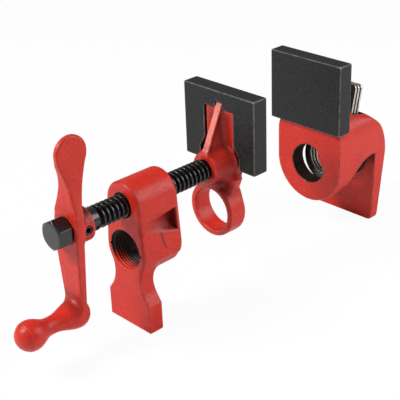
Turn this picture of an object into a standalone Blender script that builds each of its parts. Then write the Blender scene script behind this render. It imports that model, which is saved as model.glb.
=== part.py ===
"""Pipe clamp fixtures for three-quarter-inch pipe: a screw head and a sliding tail stop.

Metres, +Z up. The pipe lies along X and isn't part of the model. The origin is on the bench,
under the middle of the set, and +X runs from the crank to the tail stop.
"""

import math

import bmesh
import bpy
from mathutils import Matrix, Vector

# Pipe and fits
PIPE_DIAMETER = 0.02667
TAIL_BORE_PLAY = 0.0007
RING_BORE_PLAY = 0.0017
PLATE_HOLE_PLAY = 0.0006
FIT_GAP = 0.0003
PIPE_THREAD_PITCH = 0.001814
PIPE_THREAD_DEPTH_PER_PITCH = 0.55

# Head casting
HEAD_LENGTH = 0.031
SCREW_RISE = 0.0295
SCREW_BOSS_WALL = 0.0073
PIPE_BOSS_WALL = 0.003665
HEAD_CORNER_RADIUS = 0.006
FOOT_DROP = 0.0515
FOOT_WIDTH = 0.037
FOOT_THICKNESS = 0.011
FOOT_CHAMFER = 0.0012
FOOT_FILLET = 0.004
FLARE_HEIGHT = 0.0185
FLARE_ROUND = 0.005
WAIST_WIDTH = 0.024
WAIST_DROP = 0.021
POCKET_FLANGE = 0.003
POCKET_LENGTH = 0.018
POCKET_HEIGHT = 0.013
POCKET_DEPTH = 0.007
SEAM_GROOVE = 0.0022

# Spindle
SCREW_DIAMETER = 0.0144
SCREW_PITCH = 0.0034
THREAD_DEPTH_PER_PITCH = 0.47
THREAD_CREST_PER_PITCH = 0.36
THREAD_FLANK_DEGREES = 14.5
THREAD_GAP = 0.0004
SHANK_DIAMETER = 0.0146
SHANK_REACH = 0.006
NECK_REACH = 0.0048
JOURNAL_DIAMETER = 0.0086
HEX_ACROSS_FLATS = 0.0175
HEX_LENGTH = 0.0088
HEX_CHAMFER_DEGREES = 30

# Crank handle and its pin
HUB_GAP = 0.0275
HUB_LENGTH = 0.0145
HUB_WALL = 0.0029
BODY_INSET = 0.0003
WING_REACH = 0.0546
WING_WIDTH = 0.0212
WING_THICKNESS = 0.0038
WING_ROOT_DEPTH = 0.0125
WING_LEAN = 0.0015
ARM_ROOT_WIDTH = 0.0186
ARM_ROOT_THICKNESS = 0.0072
ARM_END_WIDTH = 0.013
ARM_END_THICKNESS = 0.005
ARM_LEAN = 0.0015
CRANK_REACH = 0.0545
GRIP_LENGTH = 0.0315
GRIP_FLARE = 0.0165
GRIP_DOME = 0.007
GRIP_ELBOW_RADIUS = 0.009
GRIP_NECK_RADIUS = 0.006
GRIP_BALL_RADIUS = 0.0105
PIN_DIAMETER = 0.005
PIN_WALL = 0.0009
PIN_SLIT = 0.0008
PIN_INSET = 0.005
PIN_RECESS = 0.0005

# Sliding jaw and its retaining ring
JAW_GAP = 0.0358
COLLAR_LENGTH = 0.0142
COLLAR_WALL = 0.0051
COLLAR_FLOOR = 0.003
COLLAR_FLARE = 0.0035
COLLAR_STRAIGHT = 0.006
TONGUE_THICKNESS = 0.005
TONGUE_WIDTH = 0.023
TONGUE_TOP = 0.065
TONGUE_CORNER = 0.002
GUSSET_THICKNESS = 0.0044
GUSSET_TOP = 0.069
RING_WALL = 0.004
RING_WIDTH = 0.0135
RING_SETBACK = 0.0015
WEB_THICKNESS = 0.012
RECESS_DEPTH = 0.003
RECESS_PLAY = 0.001
CLIP_THICKNESS = 0.0012
CLIP_WIDTH = 0.0025
CLIP_GROOVE_DEPTH = 0.0011
CLIP_OPENING_DEGREES = 60

# Pads
PAD_WIDTH = 0.060
PAD_HEIGHT = 0.0485
PAD_THICKNESS = 0.0115
PAD_BOTTOM = 0.0285
PAD_EDGE = 0.0008
PAD_LAP = 0.001
PAD_MOUTH_PLAY = 0.0025
PAD_SPACING = 0.0695

# Tail casting
TAIL_WIDTH = 0.055
TAIL_SETBACK = 0.0045
FRONT_WALL = 0.011
CHAMBER_LENGTH = 0.0285
CHAMBER_TOP = 0.024
CHEEK_THICKNESS = 0.0045
REAR_WALL = 0.012
REAR_BORE_PLAY = 0.0013
SEAT_DEPTH = 0.003
SEAT_PLAY = 0.0041
ROOF_TOP = 0.0395
ROOF_RADIUS = 0.0385
ARCH_SETBACK = 0.0025
ARCH_RADIUS = 0.024
ARCH_TOP = 0.0025
LEG_RIB = 0.001
LEG_TAPER = 0.004
LEG_THICKNESS = 0.007
TAIL_FOOT_WIDTH = 0.051
TAIL_FOOT_ROUND = 0.004
SLOT_SETBACK = 0.0125
SLOT_WIDTH = 0.040
SLOT_ROOM = 0.0039
TAIL_GUSSET_REACH = 0.015

# Clutch plates and spring
PLATE_NAMES = ("clutch_plate_1", "clutch_plate_2", "clutch_plate_3")
PLATE_THICKNESS = 0.0029
PLATE_RIM = 0.0049
PLATE_TAB_WIDTH = 0.031
PLATE_TAB_HEIGHT = 0.029
PLATE_CORNER = 0.003
PLATE_TILT_DEGREES = 13
SPRING_WIRE = 0.0016
SPRING_PLAY = 0.001465
SPRING_TURNS = 2.5

# Facets round full circles and turns
BORE_STEPS = 40
TURNED_STEPS = 32
SPINDLE_STEPS = 18
THREAD_STEPS = 12
NUT_STEPS = 24
COIL_STEPS = 10

# Overlap of joined solids, and how far a cutter passes the face that it cuts
JOIN = 0.0005
PAST = 0.004

# Stations along X, counted from the head's front face
HUB_REAR = -HUB_GAP
HUB_FRONT = HUB_REAR - HUB_LENGTH
HEX_BACK = HUB_FRONT - FIT_GAP
HEX_FRONT = HEX_BACK - HEX_LENGTH
PIN_STATION = HUB_REAR - PIN_INSET
GRIP_ELBOW = HUB_FRONT + ARM_LEAN
BALL_CENTRE = GRIP_ELBOW - GRIP_LENGTH
COLLAR_FRONT = HEAD_LENGTH + JAW_GAP
TONGUE_BACK = COLLAR_FRONT + COLLAR_LENGTH
TONGUE_FRONT = TONGUE_BACK + TONGUE_THICKNESS
RING_FRONT = TONGUE_FRONT - RING_SETBACK
RING_BACK = RING_FRONT - RING_WIDTH
THRUST_STEP = TONGUE_BACK - COLLAR_FLOOR
RECESS_FLOOR = TONGUE_FRONT - RECESS_DEPTH
CLIP_BACK = RECESS_FLOOR + FIT_GAP
CLIP_FRONT = CLIP_BACK + CLIP_THICKNESS
THREAD_START = HUB_REAR + SHANK_REACH
THREAD_END = COLLAR_FRONT - NECK_REACH
JAW_PAD_BACK = TONGUE_BACK - PAD_LAP
JAW_PAD_FRONT = JAW_PAD_BACK + PAD_THICKNESS
TAIL_PAD_FRONT = JAW_PAD_FRONT + PAD_SPACING
TAIL_PAD_BACK = TAIL_PAD_FRONT + PAD_THICKNESS
TAIL_TONGUE_BACK = TAIL_PAD_BACK - PAD_LAP
TAIL_FACE = TAIL_PAD_FRONT + TAIL_SETBACK
TAIL_SHOULDER = TAIL_PAD_BACK + FIT_GAP
CHAMBER_FRONT = TAIL_FACE + FRONT_WALL
CHAMBER_REAR = CHAMBER_FRONT + CHAMBER_LENGTH
TAIL_REAR = CHAMBER_REAR + REAR_WALL
SLOT_FRONT = CHAMBER_FRONT + SLOT_SETBACK

# Sizes that follow from the driving ones
PIPE_RADIUS = PIPE_DIAMETER / 2
PIPE_BOSS_RADIUS = PIPE_RADIUS + PIPE_BOSS_WALL
SCREW_RADIUS = SCREW_DIAMETER / 2
SCREW_BOSS_RADIUS = SCREW_RADIUS + SCREW_BOSS_WALL
THREAD_DEPTH = SCREW_PITCH * THREAD_DEPTH_PER_PITCH
THREAD_CREST = SCREW_PITCH * THREAD_CREST_PER_PITCH
THREAD_ROOT = SCREW_RADIUS - THREAD_DEPTH
SHANK_RADIUS = SHANK_DIAMETER / 2
HUB_BORE_RADIUS = SHANK_RADIUS + FIT_GAP
HUB_RADIUS = HUB_BORE_RADIUS + HUB_WALL
PIN_RADIUS = PIN_DIAMETER / 2
COLLAR_BORE_RADIUS = THREAD_ROOT + FIT_GAP
COLLAR_RADIUS = COLLAR_BORE_RADIUS + COLLAR_WALL
FLANGE_RADIUS = COLLAR_RADIUS + COLLAR_FLARE
JOURNAL_RADIUS = JOURNAL_DIAMETER / 2
CLIP_GROOVE_RADIUS = JOURNAL_RADIUS - CLIP_GROOVE_DEPTH
CLIP_INNER_RADIUS = CLIP_GROOVE_RADIUS + FIT_GAP
CLIP_OUTER_RADIUS = CLIP_INNER_RADIUS + CLIP_WIDTH
RECESS_RADIUS = CLIP_OUTER_RADIUS + RECESS_PLAY
RING_BORE_RADIUS = PIPE_RADIUS + RING_BORE_PLAY / 2
RING_RADIUS = RING_BORE_RADIUS + RING_WALL
PAD_POCKET_DEPTH = PAD_LAP + TONGUE_THICKNESS + FIT_GAP
TAIL_LEDGE = PAD_BOTTOM - FIT_GAP
PLATE_HOLE_RADIUS = (PIPE_DIAMETER + PLATE_HOLE_PLAY) / 2
PLATE_RADIUS = PLATE_HOLE_RADIUS + PLATE_RIM
PLATE_PITCH = PLATE_THICKNESS + FIT_GAP
PLATE_STACK = len(PLATE_NAMES) * PLATE_PITCH
PLATE_TILT = math.radians(PLATE_TILT_DEGREES)
SLOT_LENGTH = PLATE_STACK + SLOT_ROOM
SPRING_RADIUS = PIPE_RADIUS + SPRING_PLAY + SPRING_WIRE / 2
SEAT_RADIUS = SPRING_RADIUS + SPRING_WIRE / 2 + SEAT_PLAY
SEAT_FLOOR = CHAMBER_REAR + SEAT_DEPTH

# The set is centred over the origin and its feet stand on Z = 0
CENTRE_X = (BALL_CENTRE - GRIP_BALL_RADIUS + TAIL_REAR) / 2
PIPE_AXIS = Vector((-CENTRE_X, 0, FOOT_DROP))
SCREW_AXIS = PIPE_AXIS + Vector((0, 0, SCREW_RISE))
GRIP_AXIS = SCREW_AXIS - Vector((0, 0, CRANK_REACH))
PIPE_FRAME = Matrix.Translation(PIPE_AXIS)
SCREW_FRAME = Matrix.Translation(SCREW_AXIS)

# Colours
RED_ENAMEL = (0.55, 0.035, 0.025)
BLACK_PLASTIC = (0.03, 0.03, 0.032)
BLACK_OXIDE = (0.022, 0.022, 0.024)
BRIGHT_STEEL = (0.62, 0.61, 0.58)
SPRING_STEEL = (0.25, 0.25, 0.26)

for old in list(bpy.data.objects):
    bpy.data.objects.remove(old)


def new_collection(name):
    collection = bpy.data.collections.new(name)
    bpy.context.scene.collection.children.link(collection)
    return collection


PARTS = new_collection("pipe_clamp")
CUTTERS = new_collection("pipe_clamp_cutters")


def add_object(name, data, part=False):
    """Link a part, or a cutter that is only drawn as wire."""
    obj = bpy.data.objects.new(name, data)
    if part:
        PARTS.objects.link(obj)
    else:
        CUTTERS.objects.link(obj)
        obj.hide_render = True
        obj.display_type = "WIRE"
    return obj


def shade(mesh):
    mesh.shade_smooth()
    mesh.set_sharp_from_angle(angle=math.radians(35))


def mesh_from(name, bm):
    mesh = bpy.data.meshes.new(name)
    bm.to_mesh(mesh)
    bm.free()
    shade(mesh)
    return mesh


def welded_mesh(source):
    """Evaluate an object into a closed mesh with its faces out."""
    depsgraph = bpy.context.evaluated_depsgraph_get()
    mesh = bpy.data.meshes.new_from_object(source.evaluated_get(depsgraph))
    bm = bmesh.new()
    bm.from_mesh(mesh)
    bmesh.ops.remove_doubles(bm, verts=bm.verts, dist=1e-6)
    open_edges = [edge for edge in bm.edges if edge.is_boundary]
    if open_edges:
        bmesh.ops.holes_fill(bm, edges=open_edges)
    bmesh.ops.recalc_face_normals(bm, faces=bm.faces)
    bm.to_mesh(mesh)
    bm.free()
    shade(mesh)
    return mesh


def made_mesh(source, name, part=False):
    """Swap an object for a plain mesh object in the same place."""
    mesh = welded_mesh(source)
    place = source.matrix_world.copy()
    bpy.data.objects.remove(source)
    solid = add_object(name, mesh, part)
    solid.matrix_world = place
    return solid


def combine(target, operation, *tools):
    for tool in tools:
        modifier = target.modifiers.new(tool.name, "BOOLEAN")
        modifier.operation = operation
        modifier.solver = "EXACT"
        modifier.object = tool
    return target


def arc(centre, radius, start, end, steps):
    """Points on a circle from one angle to another, in degrees."""
    points = []
    for i in range(steps + 1):
        angle = math.radians(start + (end - start) * i / steps)
        points.append((centre[0] + radius * math.cos(angle), centre[1] + radius * math.sin(angle)))
    return points


def circle(centre, radius, steps=BORE_STEPS):
    return arc(centre, radius, 0, 360, steps)[:-1]


def mirrored(half):
    """Close an outline from its half at positive first coordinate."""
    return half + [(-a, b) for a, b in reversed(half) if a > 1e-9]


def outline_solid(name, outlines, across, start, stop, frame=PIPE_FRAME, part=False):
    """Extrude outlines, the first outside and any others holes, along X or Y of a frame.

    Across X an outline is (y, z) points, across Y it is (x, z) points.
    """
    curve = bpy.data.curves.new(name, "CURVE")
    curve.dimensions = "2D"
    curve.fill_mode = "BOTH"
    curve.extrude = (stop - start) / 2
    for outline in outlines:
        spline = curve.splines.new("POLY")
        spline.points.add(len(outline) - 1)
        for point, (a, b) in zip(spline.points, outline):
            point.co = (a, b, 0, 1)
        spline.use_cyclic_u = True
    middle = (start + stop) / 2
    if across == "X":
        turn = Matrix(((0, 0, 1, middle), (1, 0, 0, 0), (0, 1, 0, 0), (0, 0, 0, 1)))
    else:
        turn = Matrix(((1, 0, 0, 0), (0, 0, -1, middle), (0, 1, 0, 0), (0, 0, 0, 1)))
    flat = add_object(name + "_outline", curve)
    flat.matrix_world = frame @ turn
    return made_mesh(flat, name, part)


def facet_twist(steps):
    """A third of a facet, so that round solids on one axis don't share edges."""
    return Matrix.Rotation(2 * math.pi / steps / 3, 4, "Z")


def cylinder(name, radius, start, stop, axis=PIPE_AXIS, steps=BORE_STEPS):
    """A cylinder along X between two stations."""
    bm = bmesh.new()
    bmesh.ops.create_cone(
        bm, cap_ends=True, segments=steps, radius1=radius, radius2=radius, depth=stop - start,
        matrix=Matrix.Rotation(math.pi / 2, 4, "Y") @ facet_twist(steps))
    solid = add_object(name, mesh_from(name, bm))
    solid.location = axis + Vector(((start + stop) / 2, 0, 0))
    return solid


def box(name, x_range, y_range, z_range, part=False):
    """A box between two stations on each axis, with heights counted from the pipe axis."""
    ranges = (x_range, y_range, z_range)
    bm = bmesh.new()
    bmesh.ops.create_cube(bm, size=1)
    bmesh.ops.scale(bm, vec=[high - low for low, high in ranges], verts=bm.verts)
    solid = add_object(name, mesh_from(name, bm), part)
    solid.location = PIPE_AXIS + Vector([(low + high) / 2 for low, high in ranges])
    return solid


def turned(name, profile, axis, steps=TURNED_STEPS, part=False):
    """Turn (station, radius) points, listed from low to high X, about an axis along X."""
    bm = bmesh.new()
    twist = facet_twist(steps)
    verts = [bm.verts.new(twist @ Vector((radius, 0, station))) for station, radius in reversed(profile)]
    for a, b in zip(verts, verts[1:]):
        bm.edges.new((a, b))
    solid = add_object(name, mesh_from(name, bm), part)
    solid.location = axis
    solid.rotation_euler = (0, math.pi / 2, 0)
    screw = solid.modifiers.new("turn", "SCREW")
    screw.axis = "Z"
    screw.steps = steps
    screw.render_steps = steps
    screw.use_merge_vertices = True
    screw.merge_threshold = 0.00001
    return solid


def thread_ridge(name, profile, pitch, start, stop, axis):
    """A right-hand helical ridge along X that covers two stations.

    The profile is a closed loop of (offset along X, radius) points. Every ridge of one pitch and
    axis has the same phase, so a screw and its nut mesh.
    """
    first = pitch * (math.floor(start / pitch) - 1)
    bm = bmesh.new()
    verts = [bm.verts.new((radius, 0, offset)) for offset, radius in profile]
    for a, b in zip(verts, verts[1:] + verts[:1]):
        bm.edges.new((a, b))
    winding = add_object(name + "_winding", mesh_from(name, bm))
    winding.location = axis + Vector((first, 0, 0))
    winding.rotation_euler = (0, math.pi / 2, 0)
    screw = winding.modifiers.new("wind", "SCREW")
    screw.axis = "Z"
    screw.steps = THREAD_STEPS
    screw.render_steps = THREAD_STEPS
    screw.iterations = math.ceil((stop - first) / pitch) + 1
    screw.screw_offset = pitch
    return made_mesh(winding, name)


def paint(obj, colour, roughness, metallic=0.0):
    """Give a part its own material."""
    material = bpy.data.materials.new(obj.name)
    material.use_nodes = True
    shader = material.node_tree.nodes["Principled BSDF"]
    shader.inputs["Base Color"].default_value = (*colour, 1)
    shader.inputs["Roughness"].default_value = roughness
    shader.inputs["Metallic"].default_value = metallic
    obj.data.materials.clear()
    obj.data.materials.append(material)


def tooth_profile(outer_radius, crest, flank_degrees, root_radius):
    """Section of a thread ridge, carried a little below the root to overlap the core."""
    inner_radius = root_radius - 0.3 * JOIN
    tip = crest / 2
    foot = tip + math.tan(math.radians(flank_degrees)) * (outer_radius - inner_radius)
    return [(-foot, inner_radius), (-tip, outer_radius), (tip, outer_radius), (foot, inner_radius)]


def screw_tooth(gap):
    """Tooth of the spindle, or grown by a gap for its nut in the head."""
    crest = THREAD_CREST + 2 * gap
    return tooth_profile(SCREW_RADIUS + gap, crest, THREAD_FLANK_DEGREES, THREAD_ROOT + gap)


def below_round(name, radius, leave, start, stop):
    """Cutter for what lies below and beside a round bottom about the pipe axis.

    It leaves the round at an angle below the level on each side, along the tangent.
    """
    curve = arc((0, 0), radius, -leave, leave - 180, 20)
    (last_y, last_z), (first_y, first_z) = curve[1], curve[0]
    rise = (radius * math.sin(math.radians(leave)) + PAST) / (first_z - last_z)
    end = (first_y + (first_y - last_y) * rise, first_z + (first_z - last_z) * rise)
    far = 2 * radius
    outline = [(far, end[1]), end] + curve + [(-end[0], end[1]), (-far, end[1]), (-far, -far), (far, -far)]
    return outline_solid(name, [outline], "X", start, stop)


def head_outline():
    """Front view: screw boss over pipe boss, drawn in to a waist and out to the foot."""
    lean = math.degrees(math.asin((PIPE_BOSS_RADIUS - SCREW_BOSS_RADIUS) / SCREW_RISE))
    waist = WAIST_WIDTH / 2
    foot = FOOT_WIDTH / 2
    upper = (WAIST_DROP ** 2 + waist ** 2 - PIPE_BOSS_RADIUS ** 2) / (2 * (PIPE_BOSS_RADIUS - waist))
    leave = math.degrees(math.atan2(WAIST_DROP, waist + upper))
    out = foot - waist
    down = FOOT_DROP - FLARE_HEIGHT - WAIST_DROP
    aside = out - FLARE_ROUND
    toward = math.degrees(math.atan2(-down, aside)) % 360
    sweep = toward - 180 - math.degrees(math.acos(FLARE_ROUND / math.hypot(aside, down)))
    half = arc((0, SCREW_RISE), SCREW_BOSS_RADIUS, 90, lean, 9)
    half += arc((0, 0), PIPE_BOSS_RADIUS, lean, -leave, 4)
    half += arc((waist + upper, -WAIST_DROP), upper, 180 - leave, 180, 4)[1:]
    half += arc((waist + FLARE_ROUND, -WAIST_DROP), FLARE_ROUND, 180, 180 + sweep, 3)[1:]
    half += [(foot, FLARE_HEIGHT - FOOT_DROP), (foot, FOOT_CHAMFER - FOOT_DROP)]
    half += [(foot - FOOT_CHAMFER, -FOOT_DROP)]
    return mirrored(half)


def head_side():
    """Side view: foot plate at the front, and a body with a rounded lower rear corner."""
    under = -PIPE_BOSS_RADIUS - JOIN
    top = SCREW_RISE + SCREW_BOSS_RADIUS + PAST
    fillet = (FOOT_THICKNESS + FOOT_FILLET, under - FOOT_FILLET)
    corner = (HEAD_LENGTH - HEAD_CORNER_RADIUS, under + HEAD_CORNER_RADIUS)
    outline = [(-PAST, top), (-PAST, -FOOT_DROP - PAST), (FOOT_THICKNESS, -FOOT_DROP - PAST)]
    outline += arc(fillet, FOOT_FILLET, 180, 90, 4)
    outline += arc(corner, HEAD_CORNER_RADIUS, -90, 0, 5)
    outline += [(HEAD_LENGTH, top)]
    return outline


def head_pocket(name, side):
    """A three-cornered pocket between the bosses, with a floor that slopes in toward the rear."""
    slope = math.atan2(POCKET_DEPTH, POCKET_LENGTH)
    length = math.hypot(POCKET_DEPTH, POCKET_LENGTH)
    height = (SCREW_RISE - SCREW_RADIUS + PIPE_RADIUS) / 2
    share = height / SCREW_RISE
    surface = PIPE_BOSS_RADIUS + (SCREW_BOSS_RADIUS - PIPE_BOSS_RADIUS) * share
    apex = PIPE_AXIS + Vector((HEAD_LENGTH - POCKET_FLANGE - POCKET_LENGTH, side * surface, height))
    frame = Matrix.Translation(apex) @ Matrix.Rotation(-side * slope, 4, "Z")
    outline = [(0, 0), (length, -POCKET_HEIGHT / 2), (length, POCKET_HEIGHT / 2)]
    span = sorted((0, side * PIPE_BOSS_RADIUS))
    return outline_solid(name, [outline], "Y", *span, frame)


def build_head():
    head = outline_solid("head_casting", [head_outline()], "X", 0, HEAD_LENGTH, part=True)
    combine(head, "INTERSECT", outline_solid("head_side", [head_side()], "Y", -FOOT_WIDTH, FOOT_WIDTH))
    ends = (-PAST, HEAD_LENGTH + PAST)
    minor = PIPE_RADIUS - PIPE_THREAD_PITCH * PIPE_THREAD_DEPTH_PER_PITCH
    pipe_tooth = tooth_profile(PIPE_RADIUS, PIPE_THREAD_PITCH / 8, 30, minor)
    inside = minor - PAST / 2
    seam = [(PIPE_RADIUS + SEAM_GROOVE / 2, 0), (inside, SEAM_GROOVE), (inside, -SEAM_GROOVE)]
    combine(
        head, "DIFFERENCE",
        below_round("head_boss_round", PIPE_BOSS_RADIUS, 30, FOOT_THICKNESS + FOOT_FILLET, ends[1]),
        head_pocket("head_pocket_left", 1),
        head_pocket("head_pocket_right", -1),
        cylinder("head_screw_bore", THREAD_ROOT + THREAD_GAP, *ends, SCREW_AXIS, NUT_STEPS),
        thread_ridge("head_screw_thread", screw_tooth(THREAD_GAP), SCREW_PITCH, *ends, SCREW_AXIS),
        cylinder("head_pipe_bore", minor, *ends, PIPE_AXIS, NUT_STEPS),
        thread_ridge("head_pipe_thread", pipe_tooth, PIPE_THREAD_PITCH, *ends, PIPE_AXIS),
        outline_solid("head_seam_left", [seam], "X", *ends),
        outline_solid("head_seam_right", [[(-a, b) for a, b in seam]], "X", *ends))
    paint(head, RED_ENAMEL, 0.38)


def pin_hole(name):
    hole = circle((PIN_STATION, 0), PIN_RADIUS + FIT_GAP, TURNED_STEPS // 2)
    return outline_solid(name, [hole], "Y", -2 * HUB_RADIUS, 2 * HUB_RADIUS, SCREW_FRAME)


def build_spindle():
    shoulder = THRUST_STEP - FIT_GAP
    groove = (CLIP_BACK - FIT_GAP, CLIP_FRONT + FIT_GAP)
    tip = TONGUE_FRONT - FIT_GAP
    root = HEX_BACK - HEX_LENGTH / 2
    core = [(root, 0), (root, SHANK_RADIUS), (THREAD_START, SHANK_RADIUS)]
    core += [(THREAD_START + SHANK_RADIUS - THREAD_ROOT, THREAD_ROOT), (shoulder, THREAD_ROOT)]
    core += [(shoulder, JOURNAL_RADIUS), (groove[0], JOURNAL_RADIUS), (groove[0], CLIP_GROOVE_RADIUS)]
    core += [(groove[1], CLIP_GROOVE_RADIUS), (groove[1], JOURNAL_RADIUS), (tip, JOURNAL_RADIUS), (tip, 0)]
    spindle = turned("spindle", core, SCREW_AXIS, SPINDLE_STEPS, part=True)
    start = THREAD_START - JOIN
    ridge = thread_ridge("spindle_thread", screw_tooth(0), SCREW_PITCH, start, THREAD_END, SCREW_AXIS)
    over = 1.2 * SCREW_RADIUS
    blank = [(start, 0), (start, over), (THREAD_END - over + THREAD_ROOT, over)]
    blank += [(THREAD_END, THREAD_ROOT - JOIN), (THREAD_END, 0)]
    combine(ridge, "INTERSECT", turned("spindle_thread_blank", blank, SCREW_AXIS))
    corner = HEX_ACROSS_FLATS / math.sqrt(3)
    hexagon = cylinder("spindle_hex", corner, HEX_FRONT - PAST, HEX_BACK, SCREW_AXIS, 6)
    hexagon.rotation_euler = (math.radians(10), 0, 0)
    face = 0.95 * HEX_ACROSS_FLATS / 2
    run = (1.1 * corner - face) * math.tan(math.radians(HEX_CHAMFER_DEGREES))
    rounded = [(HEX_FRONT, 0), (HEX_FRONT, face), (HEX_FRONT + run, 1.1 * corner)]
    rounded += [(HEX_BACK + PAST, 1.1 * corner), (HEX_BACK + PAST, 0)]
    combine(hexagon, "INTERSECT", turned("spindle_hex_chamfer", rounded, SCREW_AXIS))
    combine(spindle, "UNION", ridge, hexagon)
    combine(spindle, "DIFFERENCE", pin_hole("spindle_pin_hole"))
    paint(spindle, BLACK_OXIDE, 0.32, 0.6)


def crank_side():
    """Side view: a rounded wing above the hub and the arm below it."""
    wing = WING_WIDTH / 2
    wing_middle = (HUB_FRONT - WING_LEAN + wing, WING_REACH - wing)
    body = HUB_FRONT + BODY_INSET
    arm_end = -CRANK_REACH - 2 * JOIN
    outline = [(GRIP_ELBOW, arm_end), (body, -1.3 * HUB_RADIUS), (body, 1.3 * HUB_RADIUS)]
    outline += arc(wing_middle, wing, 180, 0, 14)
    outline += [(HUB_FRONT + WING_ROOT_DEPTH, 1.1 * HUB_RADIUS)]
    outline += [(body + ARM_ROOT_THICKNESS, -1.1 * HUB_RADIUS), (GRIP_ELBOW + ARM_END_THICKNESS, arm_end)]
    return outline


def crank_front():
    """Front view: a thin wing that swells to the hub, and the tapering arm."""
    thin = WING_THICKNESS / 2
    wide = ARM_ROOT_WIDTH / 2
    wing_bottom = WING_REACH - WING_WIDTH / 2
    half = [(thin, WING_REACH + PAST)]
    for i in range(7):
        share = i / 6
        half.append((thin + (wide - thin) * share ** 2, wing_bottom + (HUB_RADIUS - wing_bottom) * share))
    arm_end = ARM_END_WIDTH / 2
    half += [(wide, -1.2 * HUB_RADIUS), (arm_end, -CRANK_REACH), (arm_end, -CRANK_REACH - PAST)]
    return mirrored(half)


def grip_profile():
    """Turned grip: ball, neck, flare and a domed elbow."""
    neck_angle = math.degrees(math.asin(GRIP_NECK_RADIUS / GRIP_BALL_RADIUS))
    profile = arc((BALL_CENTRE, 0), GRIP_BALL_RADIUS, 180, neck_angle, 12)
    profile[0] = (BALL_CENTRE - GRIP_BALL_RADIUS, 0)
    flare = GRIP_ELBOW_RADIUS - GRIP_NECK_RADIUS
    for i in range(7):
        share = (1 - math.cos(math.pi * i / 6)) / 2
        profile.append((GRIP_ELBOW - GRIP_FLARE * (1 - i / 6), GRIP_NECK_RADIUS + flare * share))
    for i in range(1, 7):
        angle = math.pi / 2 * i / 6
        profile.append((GRIP_ELBOW + GRIP_DOME * math.sin(angle), GRIP_ELBOW_RADIUS * math.cos(angle)))
    profile[-1] = (GRIP_ELBOW + GRIP_DOME, 0)
    return profile


def build_crank():
    crank = outline_solid(
        "crank_handle", [crank_side()], "Y", -HUB_RADIUS, HUB_RADIUS, SCREW_FRAME, part=True)
    reach = (HUB_FRONT - WING_WIDTH, HUB_FRONT + 2 * WING_WIDTH)
    combine(crank, "INTERSECT", outline_solid("crank_front", [crank_front()], "X", *reach, SCREW_FRAME))
    combine(
        crank, "UNION",
        cylinder("crank_hub", HUB_RADIUS, HUB_FRONT, HUB_REAR, SCREW_AXIS),
        turned("crank_grip", grip_profile(), GRIP_AXIS, 24))
    combine(
        crank, "DIFFERENCE",
        cylinder("crank_bore", HUB_BORE_RADIUS, HUB_FRONT - PAST, HUB_REAR + PAST, SCREW_AXIS),
        pin_hole("crank_pin_hole"))
    paint(crank, RED_ENAMEL, 0.38)


def build_pin():
    """A rolled spring pin, open along one side."""
    half_slit = math.degrees(math.asin(PIN_SLIT / PIN_DIAMETER))
    outline = arc((PIN_STATION, 0), PIN_RADIUS, half_slit, 360 - half_slit, 16)
    outline += arc((PIN_STATION, 0), PIN_RADIUS - PIN_WALL, 360 - half_slit, half_slit, 16)
    half_length = HUB_RADIUS - PIN_RECESS
    pin = outline_solid("crank_pin", [outline], "Y", -half_length, half_length, SCREW_FRAME, part=True)
    paint(pin, SPRING_STEEL, 0.35, 0.9)


def tongue_top(gap):
    """Right half of the top of the tongue that carries a pad."""
    side = TONGUE_WIDTH / 2 + gap
    top = TONGUE_TOP + gap
    corner = TONGUE_CORNER + gap
    return arc((side - corner, top - corner), corner, 90, 0, 4)


def tongue(name, back, front):
    """Tongue with straight sides on a round flange about the screw axis."""
    meet = math.degrees(math.acos(TONGUE_WIDTH / 2 / FLANGE_RADIUS))
    outline = mirrored(tongue_top(0) + arc((0, SCREW_RISE), FLANGE_RADIUS, meet, -90, 12))
    return outline_solid(name, [outline], "X", back, front)


def build_jaw():
    collar_top = SCREW_RISE + COLLAR_RADIUS
    gusset_base = SCREW_RISE + COLLAR_BORE_RADIUS + COLLAR_WALL / 2
    gusset_front = COLLAR_FRONT + FIT_GAP
    gusset_back = TONGUE_BACK + PAD_LAP
    gusset = [(gusset_front, gusset_base), (gusset_front, collar_top), (TONGUE_BACK, GUSSET_TOP)]
    gusset += [(gusset_back, GUSSET_TOP), (gusset_back, gusset_base)]
    web_heights = (RING_BORE_RADIUS + RING_WALL / 2, SCREW_RISE - COLLAR_BORE_RADIUS - COLLAR_WALL / 2)
    web = WEB_THICKNESS / 2
    collar = [(COLLAR_FRONT, 0), (COLLAR_FRONT, COLLAR_RADIUS)]
    flare_start = COLLAR_FRONT + COLLAR_STRAIGHT
    flare_length = TONGUE_BACK + JOIN - flare_start
    for i in range(6):
        share = i / 5
        radius = COLLAR_RADIUS + 0.95 * COLLAR_FLARE * share ** 2
        collar.append((flare_start + flare_length * share, radius))
    collar.append((flare_start + flare_length, 0))
    jaw = tongue("jaw_tongue", TONGUE_BACK, TONGUE_FRONT)
    jaw = made_mesh(jaw, "sliding_jaw", part=True)
    combine(
        jaw, "UNION",
        turned("jaw_collar", collar, SCREW_AXIS),
        outline_solid("jaw_gusset", [gusset], "Y", -GUSSET_THICKNESS / 2, GUSSET_THICKNESS / 2),
        cylinder("jaw_ring", RING_RADIUS, RING_BACK, RING_FRONT),
        box("jaw_web", (RING_BACK + JOIN, RING_FRONT - JOIN), (-web, web), web_heights))
    journal_bore = JOURNAL_RADIUS + FIT_GAP
    beyond = TONGUE_FRONT + PAST
    combine(
        jaw, "DIFFERENCE",
        cylinder("jaw_ring_bore", RING_BORE_RADIUS, RING_BACK - PAST, RING_FRONT + PAST),
        cylinder("jaw_collar_bore", COLLAR_BORE_RADIUS, COLLAR_FRONT - PAST, THRUST_STEP, SCREW_AXIS),
        cylinder("jaw_journal_bore", journal_bore, THRUST_STEP - PAST, beyond, SCREW_AXIS),
        cylinder("jaw_recess", RECESS_RADIUS, RECESS_FLOOR, beyond, SCREW_AXIS))
    paint(jaw, RED_ENAMEL, 0.38)


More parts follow.
